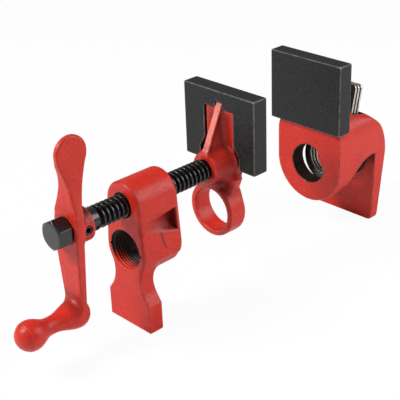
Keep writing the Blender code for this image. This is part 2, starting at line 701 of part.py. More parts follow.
def build_retaining_ring():
    """An open snap ring in the groove at the spindle's tip."""
    half_gap = CLIP_OPENING_DEGREES / 2
    outline = arc((0, 0), CLIP_OUTER_RADIUS, 90 + half_gap, 450 - half_gap, 20)
    outline += arc((0, 0), CLIP_INNER_RADIUS, 450 - half_gap, 90 + half_gap, 20)
    ring = outline_solid(
        "jaw_retaining_ring", [outline], "X", CLIP_BACK, CLIP_FRONT, SCREW_FRAME, part=True)
    paint(ring, SPRING_STEEL, 0.4, 0.9)


def build_pads():
    """One slip-on pad, used on the jaw and turned round on the tail stop."""
    across = (-PAD_WIDTH / 2, PAD_WIDTH / 2)
    blank = box("pad_blank", (JAW_PAD_BACK, JAW_PAD_FRONT), across, (PAD_BOTTOM, PAD_BOTTOM + PAD_HEIGHT))
    edge = blank.modifiers.new("edge", "BEVEL")
    edge.width = PAD_EDGE
    edge.segments = 2
    mouth = FLANGE_RADIUS + PAD_MOUTH_PLAY
    half = tongue_top(FIT_GAP) + [(TONGUE_WIDTH / 2 + FIT_GAP, SCREW_RISE + FLANGE_RADIUS)]
    half += [(mouth, SCREW_RISE + FLANGE_RADIUS / 2), (mouth, PAD_BOTTOM - PAST)]
    outer = JAW_PAD_BACK - PAST
    notch = GUSSET_THICKNESS / 2 + FIT_GAP
    combine(
        blank, "DIFFERENCE",
        outline_solid("pad_pocket", [mirrored(half)], "X", outer, JAW_PAD_BACK + PAD_POCKET_DEPTH),
        box("pad_notch", (outer, JAW_PAD_BACK + 2 * PAD_LAP + FIT_GAP), (-notch, notch),
            (SCREW_RISE + FLANGE_RADIUS, GUSSET_TOP + FIT_GAP)))
    jaw_pad = made_mesh(blank, "jaw_pad", part=True)
    tail_pad = add_object("tail_pad", jaw_pad.data, part=True)
    tail_pad.location = jaw_pad.location + Vector((PAD_SPACING + PAD_THICKNESS, 0, 0))
    tail_pad.rotation_euler = (0, 0, math.pi)
    paint(jaw_pad, BLACK_PLASTIC, 0.55)


def tail_side():
    """Side view: ledge for the pad, arched roof, rear leg and the arch under the cheeks."""
    roof_centre = (TAIL_REAR - ROOF_RADIUS, ROOF_TOP - ROOF_RADIUS)
    arch_centre = (CHAMBER_FRONT + ARCH_SETBACK + ARCH_RADIUS, ARCH_TOP - ARCH_RADIUS)
    leg_front = CHAMBER_REAR - LEG_RIB
    leg_back = TAIL_REAR - LEG_TAPER
    meet = math.degrees(math.acos((leg_front - arch_centre[0]) / ARCH_RADIUS))
    deep = -TAIL_WIDTH / 2 - PAST
    outline = [(TAIL_FACE, deep), (TAIL_FACE, TAIL_LEDGE)]
    outline += [(TAIL_SHOULDER, TAIL_LEDGE), (TAIL_SHOULDER, ROOF_TOP)]
    outline += arc(roof_centre, ROOF_RADIUS, 90, 0, 12)
    outline += [(leg_back, -FOOT_DROP), (leg_back - LEG_THICKNESS, -FOOT_DROP)]
    outline += arc(arch_centre, ARCH_RADIUS, meet, 180, 10)
    outline += [(CHAMBER_FRONT + ARCH_SETBACK, deep)]
    return outline


def beside_leg(name, start, stop):
    """Cutter that tapers the rear leg's sides and rounds its lower corners."""
    wide = TAIL_WIDTH / 2
    narrow = TAIL_FOOT_WIDTH / 2
    splay = (wide - narrow) / FOOT_DROP
    corner_height = TAIL_FOOT_ROUND - FOOT_DROP
    half = [(2 * wide, PAST), (wide + splay * PAST, PAST)]
    half += [(narrow + splay * TAIL_FOOT_ROUND, corner_height)]
    half += arc((narrow - TAIL_FOOT_ROUND, corner_height), TAIL_FOOT_ROUND, -10, -80, 4)
    half += [(narrow - TAIL_FOOT_ROUND, -FOOT_DROP), (narrow - TAIL_FOOT_ROUND, -FOOT_DROP - PAST)]
    half += [(2 * wide, -FOOT_DROP - PAST)]
    right = outline_solid(name + "_right", [half], "X", start, stop)
    left = outline_solid(name + "_left", [[(-a, b) for a, b in reversed(half)]], "X", start, stop)
    return left, right


def roof_barrel(name, start, stop):
    """What lies under the roof, which is rounded about the pipe axis from side to side."""
    half = arc((0, 0), ROOF_TOP, 90, 30, 8)
    half += [(half[-1][0], -FOOT_DROP - PAST)]
    return outline_solid(name, [mirrored(half)], "X", start, stop)


def build_tail():
    half_width = TAIL_WIDTH / 2
    tail = outline_solid("tail_casting", [tail_side()], "Y", -half_width, half_width, part=True)
    combine(tail, "INTERSECT", roof_barrel("tail_roof", TAIL_FACE - PAST, TAIL_REAR + PAST))
    arch_middle = CHAMBER_FRONT + ARCH_SETBACK + ARCH_RADIUS
    chamber = half_width - CHEEK_THICKNESS
    slot = SLOT_WIDTH / 2
    front_bore = PIPE_RADIUS + TAIL_BORE_PLAY / 2
    rear_bore = PIPE_RADIUS + REAR_BORE_PLAY / 2
    combine(
        tail, "DIFFERENCE",
        below_round("tail_round", half_width, 0, TAIL_FACE - PAST, arch_middle),
        *beside_leg("tail_leg_side", arch_middle, TAIL_REAR + PAST),
        box("tail_chamber", (CHAMBER_FRONT, CHAMBER_REAR), (-chamber, chamber),
            (-FOOT_DROP - PAST, CHAMBER_TOP)),
        box("tail_slot", (SLOT_FRONT, SLOT_FRONT + SLOT_LENGTH), (-slot, slot),
            (CHAMBER_TOP - PAST, ROOF_TOP + PAST)),
        cylinder("tail_front_bore", front_bore, TAIL_FACE - PAST, CHAMBER_FRONT + PAST),
        cylinder("tail_spring_seat", SEAT_RADIUS, CHAMBER_REAR - PAST, SEAT_FLOOR),
        cylinder("tail_rear_bore", rear_bore, CHAMBER_REAR - PAST, TAIL_REAR + PAST))
    gusset_front = TAIL_TONGUE_BACK - PAD_LAP
    gusset_end = TAIL_TONGUE_BACK + TAIL_GUSSET_REACH
    roof_run = gusset_end - TAIL_REAR + ROOF_RADIUS
    roof_height = ROOF_TOP - ROOF_RADIUS + math.sqrt(ROOF_RADIUS ** 2 - max(roof_run, 0) ** 2)
    gusset = [(gusset_front, TAIL_LEDGE - JOIN), (gusset_front, GUSSET_TOP), (TAIL_TONGUE_BACK, GUSSET_TOP)]
    gusset += [(gusset_end, roof_height - JOIN), (gusset_end, TAIL_LEDGE - JOIN)]
    combine(
        tail, "UNION",
        tongue("tail_tongue", TAIL_TONGUE_BACK - TONGUE_THICKNESS, TAIL_TONGUE_BACK),
        outline_solid("tail_gusset", [gusset], "Y", -GUSSET_THICKNESS / 2, GUSSET_THICKNESS / 2))
    paint(tail, RED_ENAMEL, 0.38)


def build_plates():
    """Clutch plates hung from the front edge of the roof slot, tops leaning back at rest."""
    hinge = add_object("clutch_hinge", None, part=True)
    hinge.location = PIPE_AXIS + Vector((SLOT_FRONT, 0, CHAMBER_TOP))
    hinge.rotation_euler = (0, PLATE_TILT, 0)
    tab = PLATE_TAB_WIDTH / 2
    hole_middle = (0, -CHAMBER_TOP)
    meet = math.degrees(math.acos(tab / PLATE_RADIUS))
    half = arc((tab - PLATE_CORNER, PLATE_TAB_HEIGHT - PLATE_CORNER), PLATE_CORNER, 90, 0, 4)
    half += arc(hole_middle, PLATE_RADIUS, meet, -90, 12)
    outlines = [mirrored(half), circle(hole_middle, PLATE_HOLE_RADIUS)]
    blank = outline_solid("clutch_plate_blank", outlines, "X", 0, PLATE_THICKNESS, Matrix())
    for i, name in enumerate(PLATE_NAMES):
        plate = add_object(name, blank.data, part=True)
        plate.parent = hinge
        plate.matrix_basis = Matrix.Translation((FIT_GAP + i * PLATE_PITCH, 0, 0)) @ blank.matrix_basis
    paint(plate, BRIGHT_STEEL, 0.3, 0.95)
    bpy.data.objects.remove(blank)


def build_spring():
    """A coil round the pipe path, between the leaning rear plate and its seat in the rear wall."""
    stand_off = SPRING_WIRE / 2 + FIT_GAP
    lean = math.tan(PLATE_TILT)
    plate_back = SLOT_FRONT + (PLATE_STACK + stand_off) / math.cos(PLATE_TILT)
    points = []
    count = round(SPRING_TURNS * COIL_STEPS)
    for i in range(count + 1):
        angle = 2 * math.pi * i / COIL_STEPS
        y = SPRING_RADIUS * math.cos(angle)
        z = SPRING_RADIUS * math.sin(angle)
        front = plate_back + (z - CHAMBER_TOP) * lean
        x = front + (SEAT_FLOOR - stand_off - front) * i / count
        points.append(PIPE_AXIS + Vector((x, y, z)))
    least = min((a - b).length for i, a in enumerate(points) for b in points[i + COIL_STEPS // 2:])
    print("clutch_spring least gap to itself: %.2f mm" % (1000 * (least - SPRING_WIRE)))
    curve = bpy.data.curves.new("clutch_spring", "CURVE")
    curve.dimensions = "3D"
    curve.bevel_depth = SPRING_WIRE / 2
    curve.bevel_resolution = 1
    curve.use_fill_caps = True
    spline = curve.splines.new("POLY")
    spline.points.add(len(points) - 1)
    for point, place in zip(spline.points, points):
        point.co = (*place, 1)
    spring = made_mesh(add_object("clutch_spring_wire", curve), "clutch_spring", part=True)
    paint(spring, SPRING_STEEL, 0.35, 0.9)


build_head()
build_spindle()
build_crank()
build_pin()
build_jaw()
build_retaining_ring()
build_pads()
build_tail()
build_plates()
build_spring()
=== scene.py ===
"""Looks of a pipe clamp set: red castings, black screw, slip-on pads, clutch plates and spring.

The castings, the pads and the screw's hex end are skinned from distance fields, so that each joint has
its fillet and each edge its round. Fields work in millimetres: x runs along the pipe from the head's
front face, y across it and z up from the pipe axis.
"""

import math

import bmesh
import bpy
import numpy as np
from mathutils import Matrix, Vector


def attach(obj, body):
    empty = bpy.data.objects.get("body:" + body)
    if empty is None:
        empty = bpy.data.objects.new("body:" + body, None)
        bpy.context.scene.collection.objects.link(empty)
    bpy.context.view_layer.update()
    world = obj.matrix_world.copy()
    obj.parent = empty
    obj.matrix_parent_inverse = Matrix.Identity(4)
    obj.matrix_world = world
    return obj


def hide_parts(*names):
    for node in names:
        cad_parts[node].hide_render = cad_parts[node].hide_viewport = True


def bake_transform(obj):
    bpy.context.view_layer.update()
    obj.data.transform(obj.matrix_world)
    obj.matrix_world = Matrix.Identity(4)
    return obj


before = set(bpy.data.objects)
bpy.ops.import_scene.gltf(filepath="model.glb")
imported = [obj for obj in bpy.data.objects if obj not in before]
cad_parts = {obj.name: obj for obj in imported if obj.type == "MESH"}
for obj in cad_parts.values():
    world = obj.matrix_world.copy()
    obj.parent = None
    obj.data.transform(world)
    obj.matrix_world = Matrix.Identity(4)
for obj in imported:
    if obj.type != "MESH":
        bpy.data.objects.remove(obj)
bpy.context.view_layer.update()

MM = 0.001
FIELD_ORIGIN = np.array((-0.06725, 0, 0.0515))
# Cells by which a skin's grid starts early, odd so that no flat face lies on a grid plane
GRID_SHIFT = (2.37, 2.41, 2.43)
# Reach over which a skin's edges and its sheltered places are measured
BEND_STEP = 0.7
SHELTER_REACH = 9
# Step of the samples as a share of a cell, and the least squared slope and slope to divide by
PROBE_SHARE = 0.15
LEAST_STEEPNESS = 0.05
LEAST_SLOPE = 0.2
# Angle from which an edge of a CAD copy is rounded
SHARP_ANGLE = math.radians(40)
# Height over the bosses and the roof, where an open outline is closed
OPEN_TOP = 60
# Lap of one form into the next, and length by which an outline runs past its piece
LAP = 1
OVERRUN = 4

# Head
HEAD_LENGTH = 31
SCREW_RISE = 29.5
SCREW_BOSS = 14.5
PIPE_BOSS = 17
PIPE_RADIUS = 13.335
PIPE_PITCH = 1.814
SOCKET_RADIUS = 12.7
FOOT_DROP = 51.5
FOOT_WIDTH = 37
FOOT_THICKNESS = 11
FOOT_FILLET = 4
FLARE_HEIGHT = 18.5
FLARE_ROUND = 17
WAIST_WIDTH = 24
WAIST_DROP = 18.5
BODY_DROP = 17.5
BODY_ROUND = 6
# Edge rounds of the foot and of the body, and the heights between which one becomes the other
FOOT_EDGE = 0.9
BODY_EDGE = 2.4
EDGE_CHANGE = (-26, -10)
UNDERCUT_START = 11.5
UNDERCUT_TOP = -8.5
# The side pocket deepens from its tip to its end, and its edge goes from soft to crisp
POCKET_START = 2
POCKET_END = 28
POCKET_DEPTH = 7
POCKET_RADIUS = 6.8
POCKET_TIP = 0.2
POCKET_LIP = 1
POCKET_RISE = 17.8
POCKET_SINK = 2
POCKET_SOFT = 5
POCKET_CRISP = 2
PIPE_NOTCH = [(14.6, 0), (10.3, 2.6), (10.3, -2.6)]
NUT_PLAY = 0.4

# Spindle
SCREW_RADIUS = 7.2
SCREW_PITCH = 3.4
THREAD_ROOT = 5.6
THREAD_START = -21.5
THREAD_END = 66.2
SHANK_RADIUS = 7.3
HEX_FRONT = -51.1
HEX_BACK = -42.3
HEX_FLATS = 16.4
# The hex end's chamfer: share of the flats where it starts, and its slope across and along
CHAMFER_START = 0.95
CHAMFER_ACROSS = 0.5
CHAMFER_ALONG = 0.866
SPINDLE_SHOULDER = 77.7
JOURNAL_RADIUS = 4.3
GROOVE_START = 83
GROOVE_END = 84.8
GROOVE_RADIUS = 3.2
SPINDLE_TIP = 85.7

# Crank handle
HUB_FRONT = -42
HUB_REAR = -27.5
HUB_RADIUS = 10.5
HUB_BORE = 7.6
WING_REACH = 54.6
WING_RADIUS = 10.6
WING_THICKNESS = 3.8
# Edges of the wing down to the hub: place behind the hub's front, and height over the screw
WAIST_FRONT = [(0.9, 0), (2, 15), (2.3, 24), (1.9, 28), (0.9, 33), (0, 35.8), (-0.9, 38.5)]
WAIST_REAR = [(16.8, 35.8), (12.5, 26), (10.2, 20), (8.3, 14.5), (7.8, 11.5)]
# Places of the wing's tip, the arm and the barrel behind the hub's front
WING_STEP = -1.5
ARM_STEP = 0.3
BARREL_STEP = 2.4
SWELL_STEPS = 16
SWELL_POWER = 1.6
ARM_ROOT_WIDTH = 20.6
ARM_END_WIDTH = 15.5
ARM_ROOT_THICKNESS = 5.8
ARM_END_THICKNESS = 4
# Height of the arm's end over the grip's axis
ARM_GAP = 4
CRANK_REACH = 54.5
GRIP_ELBOW = -40.5
GRIP_FLARE = 16.5
BALL_CENTRE = -72
BALL_RADIUS = 9.1
GRIP_NECK = 5.3
ELBOW_RADIUS = 9
PIN_STATION = -32.5
PIN_HOLE = 2.8

# Sliding jaw
COLLAR_FRONT = 66.8
COLLAR_RADIUS = 10.4
CONE_POWER = 1.2
FLANGE_RADIUS = 14.5
TONGUE_BACK = 81
TONGUE_FRONT = 86
TONGUE_WIDTH = 23
TONGUE_TOP = 65
GUSSET_FRONT = COLLAR_FRONT + 0.5
GUSSET_ROOT = SCREW_RISE + 8
GUSSET_FOOT = SCREW_RISE + COLLAR_RADIUS
GUSSET_TOP = 69
GUSSET_THICKNESS = 5
# The gusset thickens from a little behind its sloping edge
FLARE_START = 2
GUSSET_FLARE = 0.3
RING_BACK = 71
RING_FRONT = 84.5
RING_BORE = 14.185
RING_WALL = 4
WEB_WIDTH = 12
WEB_BOTTOM = 16
WEB_TOP = 21.5
WEB_INSET = 0.5
SHOULDER_BACK = 75.5
SHOULDER_FRONT = 84.2
BORE_PLAY = 0.3
THREAD_BORE_END = 78
RECESS_RADIUS = 7

# Pads, with the tail pad turned round about a plane across the pipe
PAD_BACK = 80
PAD_FRONT = 91.5
PAD_WIDTH = 60
PAD_BOTTOM = 28.5
PAD_TOP = 77
PAD_OVERRUN = 9
POCKET_FLOOR = 86.3
TONGUE_PLAY = 1
TOP_PLAY = 0.8
FLANGE_PLAY = 2.5
NOTCH_WIDTH = 6
NOTCH_BOTTOM = 44
NOTCH_FLOOR = 82.6
PAD_TURN = 252.5

# Tail stop
TAIL_WIDTH = 55
TAIL_FACE = 165.5
TAIL_SHOULDER = 172.8
TAIL_LEDGE = 28.2
TAIL_REAR = 217
CHEEK_DROP = 40
ROOF_TOP = 39.5
ROOF_RADIUS = 38.5
CHAMBER_FRONT = 176.5
CHAMBER_REAR = 205
CHAMBER_TOP = 24
CHAMBER_WIDTH = 46
ARCH_CENTRE = (203, -21.5)
ARCH_RADIUS = 24
LEG_FRONT = 206
LEG_REAR = 213
LEG_ROUND = 4
TAIL_FOOT_WIDTH = 51
SLOT_FRONT = 189
SLOT_REAR = 202.5
SLOT_WIDTH = 40
SLOT_BOTTOM = 20
FRONT_BORE_END = 180
FRONT_PLAY = 0.35
REAR_BORE_START = 201
REAR_PLAY = 0.65
SEAT_RADIUS = 20.5
SEAT_FLOOR = 208
TAIL_TONGUE = (166.5, 171.5)
TAIL_GUSSET = [(170.5, TAIL_LEDGE), (170.5, GUSSET_TOP), (171.5, GUSSET_TOP), (186.5, 38.6)]
TAIL_GUSSET += [(186.5, TAIL_LEDGE)]

# Clutch spring and plates
SPRING_RADIUS = 15.6
SPRING_WIRE = 1.6
SPRING_TURNS = 2.5
SPRING_FRONT = 199.95
SPRING_REAR = 206.9
PLATE_TILT = math.radians(13)
PLATE_THIN = 0.58
RIM_LIMIT = 0.9

# Finishes, as linear colours
ENAMEL_RED = (0.64, 0.024, 0.010)
ENAMEL_DEEP = (0.42, 0.013, 0.006)
# Paler edges: partly thin paint on worn edges, partly a painted highlight along rounded edges
ENAMEL_EDGE = (0.72, 0.090, 0.062)
# Pale pink of a painted highlight on the gusset's sloping edge
ENAMEL_HIGHLIGHT = (0.82, 0.25, 0.20)
# Darkest red, for painted shade in hollows and sheltered places, and for the mould mark
ENAMEL_SHADE_AND_MARK = (0.16, 0.007, 0.006)
PAD_BLACK = (0.009, 0.0092, 0.0095)
PAD_GRAIN = (0.026, 0.026, 0.0265)
# Grey of the painted highlight along the pads' edges
PAD_EDGE_HIGHLIGHT = (0.24, 0.24, 0.245)
OXIDE_BLACK = (0.007, 0.007, 0.007)
OXIDE_WORN = (0.07, 0.066, 0.062)
IRON_BROWN = (0.045, 0.022, 0.016)
ZINC = (0.70, 0.67, 0.62)
ZINC_DULL = (0.42, 0.38, 0.33)
SCALE_GREY = (0.16, 0.15, 0.14)
SPRING_GREY = (0.30, 0.29, 0.28)

# Shares of the deeper coats in the enamel, and of the painted shade in its inner corners
MOTTLE_SHARE = 0.35
SPECKLE_SHARE = 0.7
HOLLOW_SHADE_SHARE = 0.6

# Mould mark on the head's side and overspray in its socket, with lengths in metres
MARK_LEAN = 0.25
MARK_PLACE = 0.0369
MARK_HEIGHT = 0.0585
MARK_SIDE = -0.0145
MARK_SHARE = 0.95
SPRAY_REACH = (0.009, 0.002)
SPRAY_DROP = (0.004, 0.010)
SPRAY_SHARE = 0.9

# Stage: shares of white that the camera sees and of light that the surroundings give
FLOOR_WHITE = 0.94
SURROUND_LIGHT = 0.29
# Lights: name, place, size and power, and the place that they point at
LIGHTS = [
    ("key_softbox", (-0.82, 0.46, 0.88), 0.32, 14),
    ("side_softbox", (0.45, -0.5, 0.45), 0.5, 4.2),
]
LIGHT_AIM = (0, 0, 0.06)
# Camera: place, yaw, pitch and roll in degrees, focal length and sensor in millimetres
CAMERA_PLACE = (-0.3979, -0.4185, 0.3465)
CAMERA_TURN = (43.18, 26.41, -2.19)
CAMERA_LENS = 92.4
CAMERA_SENSOR = 36


# Distance fields: negative inside


def slab(x, low, high):
    return np.maximum(low - x, x - high)


def rod(a, b, radius):
    return np.hypot(a, b) - radius


def join(a, b, fillet):
    """Union of two fields with a fillet between them."""
    near = np.maximum(fillet - np.abs(a - b), 0)
    return np.minimum(a, b) - near * near / (4 * fillet)


def trim(a, b, edge):
    """What two fields share, with a rounded edge."""
    return -join(-a, -b, edge)


def cut(a, b, edge):
    """The first field less the second, with a rounded edge."""
    return -join(-a, b, edge)


def ease(value, low, high):
    """0 below one value and 1 above another, smooth between them."""
    share = np.clip((value - low) / (high - low), 0, 1)
    return share * share * (3 - 2 * share)


def outline(a, b, corners):
    """Field of a closed outline in one plane."""
    nearest = np.inf
    inside = False
    for (a0, b0), (a1, b1) in zip(corners, corners[1:] + corners[:1]):
        along_a = a1 - a0
        along_b = b1 - b0
        share = np.clip(((a - a0) * along_a + (b - b0) * along_b) / (along_a ** 2 + along_b ** 2), 0, 1)
        nearest = np.minimum(nearest, (a - a0 - share * along_a) ** 2 + (b - b0 - share * along_b) ** 2)
        if along_b:
            inside = inside ^ (((b0 <= b) != (b1 <= b)) & (a < a0 + (b - b0) * along_a / along_b))
    return np.where(inside, -1, 1) * np.sqrt(nearest)


def arc(centre, radius, start, end, steps):
    """Points on a circle from one angle to another, in degrees."""
    points = []
    for i in range(steps + 1):
        angle = math.radians(start + (end - start) * i / steps)
        points.append((centre[0] + radius * math.cos(angle), centre[1] + radius * math.sin(angle)))
    return points


def mirrored(half):
    """Close an outline from its half at positive first coordinate."""
    return half + [(-a, b) for a, b in reversed(half) if a > 1e-6]


# Skins and meshes


def probe(points, field, step):
    """Value, slope and curvature of a field at points, from samples a step away."""
    value = field(*points.T)
    slope = np.empty_like(points)
    curvature = -6 * value
    for axis in range(3):
        nudge = np.zeros(3)
        nudge[axis] = step
        ahead = field(*(points + nudge).T)
        behind = field(*(points - nudge).T)
        slope[:, axis] = (ahead - behind) / (2 * step)
        curvature = curvature + ahead + behind
    return value, slope, curvature / step ** 2


def refine(points, field, cell):
    """Move points on to the zero level of a field, and measure how it bends and shelters there."""
    start = points.copy()
    for _ in range(3):
        value, slope, _ = probe(points, field, PROBE_SHARE * cell)
        steepness = np.maximum((slope ** 2).sum(1), LEAST_STEEPNESS)
        points = points - slope * (value / steepness)[:, None]
        points = np.clip(points, start - cell, start + cell)
    _, slope, bend = probe(points, field, BEND_STEP)
    outward = slope / np.maximum(np.linalg.norm(slope, axis=1), LEAST_SLOPE)[:, None]
    open_space = field(*(points + SHELTER_REACH * outward).T) / SHELTER_REACH
    return points, bend, np.clip(1 - open_space, 0, 1)


def skin(field, low, high, cell):
    """Points, quads, bend and shelter of the surface round a field."""
    axes = [np.arange(low[i] - GRID_SHIFT[i] * cell, high[i] + 3 * cell, cell) for i in range(3)]
    size = [len(axis) for axis in axes]
    values = np.broadcast_to(field(*np.meshgrid(*axes, indexing="ij", sparse=True)), size)
    inside = values < 0
    cells = [n - 1 for n in size]
    total = np.zeros((3, *cells))
    count = np.zeros(cells)
    crossings = []
    for axis in range(3):
        first = [slice(None)] * 3
        second = [slice(None)] * 3
        first[axis] = slice(0, -1)
        second[axis] = slice(1, None)
        a = values[tuple(first)]
        b = values[tuple(second)]
        crossing = inside[tuple(first)] != inside[tuple(second)]
        share = np.where(crossing, a / np.where(crossing, a - b, 1), 0)
        crossings.append((crossing, inside[tuple(first)]))
        u = (axis + 1) % 3
        v = (axis + 2) % 3
        for du in (0, 1):
            for dv in (0, 1):
                window = [slice(None)] * 3
                window[u] = slice(du, du + cells[u])
                window[v] = slice(dv, dv + cells[v])
                here = crossing[tuple(window)]
                count += here
                total[axis] += share[tuple(window)]
                total[u] += du * here
                total[v] += dv * here
    mixed = count > 0
    index = np.full(cells, -1)
    index[mixed] = np.arange(mixed.sum())
    corner = np.array([axis[0] for axis in axes])
    points = corner + (np.argwhere(mixed) + (total[:, mixed] / count[mixed]).T) * cell
    quads = []
    for axis, (crossing, leaving) in enumerate(crossings):
        at = np.argwhere(crossing)
        step_u = np.eye(3, dtype=int)[(axis + 1) % 3]
        step_v = np.eye(3, dtype=int)[(axis + 2) % 3]
        ring = [index[tuple((at - shift).T)] for shift in (0 * step_u, step_u, step_u + step_v, step_v)]
        quad = np.stack(ring, 1)
        inward = ~leaving[crossing]
        quad[inward] = quad[inward][:, ::-1]
        quads.append(quad)
    points, bend, shelter = refine(points, field, cell)
    return points, np.concatenate(quads), bend, shelter


def new_object(name, data):
    obj = bpy.data.objects.new(name, data)
    bpy.context.scene.collection.objects.link(obj)
    return obj


def new_piece(name, points, faces, **layers):
    """An object from points in field millimetres, with a value per point in each named layer."""
    mesh = bpy.data.meshes.new(name)
    mesh.from_pydata((FIELD_ORIGIN + np.asarray(points) * MM).tolist(), [], [list(face) for face in faces])
    mesh.shade_smooth()
    for label, values in layers.items():
        layer = mesh.attributes.new(label, "FLOAT", "POINT")
        layer.data.foreach_set("value", np.asarray(values, np.float32))
    return new_object(name, mesh)


def cast(name, field, low, high, cell, **tests):
    """A skinned piece, with a layer for the places that each named test picks out."""
    points, quads, bend, shelter = skin(field, low, high, cell)
    layers = {label: test(*points.T) for label, test in tests.items()}
    return new_piece(name, points, quads, bend=bend, shelter=shelter, **layers)


def turned(name, profile, height, steps=72):
    """Turn (station, radius) points about an axis along X."""
    points = []
    faces = []
    count = len(profile)
    for i in range(steps):
        angle = 2 * math.pi * i / steps
        for station, radius in profile:
            points.append((station, radius * math.cos(angle), height + radius * math.sin(angle)))
    for i in range(steps):
        j = (i + 1) % steps
        for k in range(count - 1):
            faces.append((i * count + k, i * count + k + 1, j * count + k + 1, j * count + k))
    obj = new_piece(name, points, faces)
    cleaned(obj.data)
    return obj


def cleaned(mesh):
    """Merge doubles and turn the faces out."""
    bm = bmesh.new()
    bm.from_mesh(mesh)
    bmesh.ops.remove_doubles(bm, verts=bm.verts, dist=1e-6)
    bmesh.ops.recalc_face_normals(bm, faces=bm.faces)
    bm.to_mesh(mesh)
    bm.free()


def plain_mesh(obj):
    """Swap an object's modifiers for the mesh that they make."""
    depsgraph = bpy.context.evaluated_depsgraph_get()
    obj.data = bpy.data.meshes.new_from_object(obj.evaluated_get(depsgraph))
    obj.modifiers.clear()
    return obj


def softened(name, node, width):
    """A copy of a CAD node with its edges rounded."""
    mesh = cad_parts[node].data.copy()
    bm = bmesh.new()
    bm.from_mesh(mesh)
    bmesh.ops.remove_doubles(bm, verts=bm.verts, dist=1e-6)
    bmesh.ops.dissolve_limit(bm, angle_limit=math.radians(1), verts=bm.verts, edges=bm.edges)
    bm.to_mesh(mesh)
    bm.free()
    obj = new_object(name, mesh)
    edge = obj.modifiers.new("edge", "BEVEL")
    edge.width = width * MM
    edge.segments = 3
    edge.limit_method = "ANGLE"
    edge.angle_limit = SHARP_ANGLE
    plain_mesh(obj)
    obj.data.shade_smooth()
    obj.data.set_sharp_from_angle(angle=SHARP_ANGLE)
    return obj


def thinned(mesh, share):
    """Draw a leaning plate's two faces together about its middle, and mark its rims."""
    across = np.array((math.cos(PLATE_TILT), 0, -math.sin(PLATE_TILT)))
    points = np.array([vertex.co for vertex in mesh.vertices])
    depth = points @ across
    middle = (depth.min() + depth.max()) / 2
    points -= np.outer((depth - middle) * (1 - share), across)
    mesh.vertices.foreach_set("co", points.ravel())
    mesh.update()
    rims = [float(abs(face.normal @ Vector(across)) < RIM_LIMIT) for face in mesh.polygons]
    mesh.attributes.new("rim", "FLOAT", "FACE").data.foreach_set("value", rims)


# Node trees


def feed(tree, socket, value):
    """Link another socket to this one, or set its value."""
    if isinstance(value, bpy.types.NodeSocket):
        tree.links.new(value, socket)
    else:
        socket.default_value = value


def add(tree, kind, inputs=None, **settings):
    """Add a node, with its settings, and values or links for its inputs."""
    made = tree.nodes.new(kind)
    for name, value in settings.items():
        setattr(made, name, value)
    for name, value in (inputs or {}).items():
        feed(tree, next(s for s in made.inputs if s.identifier == name or s.name == name), value)
    return made


def math_of(tree, operation, *values):
    """Result of a Math node."""
    made = add(tree, "ShaderNodeMath", operation=operation)
    for socket, value in zip(made.inputs, values):
        feed(tree, socket, value)
    return made.outputs[0]


def ranged(tree, value, low=0.0, high=1.0, start=0.0, end=1.0, **settings):
    """A value between start and end, spread from low to high."""
    limits = {"From Min": start, "From Max": end, "To Min": low, "To Max": high}
    return add(tree, "ShaderNodeMapRange", {"Value": value, **limits}, **settings).outputs[0]


def new_tree(name, kind, inputs, outputs):
    """A node tree with named sockets, its input node's sockets by name, and its output node.

    An input is given by its value, or by its type where it has none.
    """
    tree = bpy.data.node_groups.new(name, kind)
    for label, value in inputs.items():
        named = value if isinstance(value, str) else "Vector" if isinstance(value, tuple) else "Float"
        socket = tree.interface.new_socket(label, in_out="INPUT", socket_type="NodeSocket" + named)
        if named != value:
            socket.default_value = value
    for label, named in outputs.items():
        tree.interface.new_socket(label, in_out="OUTPUT", socket_type="NodeSocket" + named)
    given = tree.nodes.new("NodeGroupInput").outputs
    return tree, given, tree.nodes.new("NodeGroupOutput")


def moved(tree, geometry, **inputs):
    """Geometry that has been shifted or turned."""
    return add(tree, "GeometryNodeTransform", {"Geometry": geometry, **inputs}).outputs[0]


def end_tree(tree, geometry, finish, result):
    """Shade a geometry tree's result smooth, make it real and give it its material."""
    smooth = add(tree, "GeometryNodeSetShadeSmooth", {"Geometry": geometry})
    realized = add(tree, "GeometryNodeRealizeInstances", {"Geometry": smooth.outputs[0]})
    finished = add(tree, "GeometryNodeSetMaterial", {"Geometry": realized.outputs[0], "Material": finish})
    tree.links.new(finished.outputs[0], result.inputs[0])


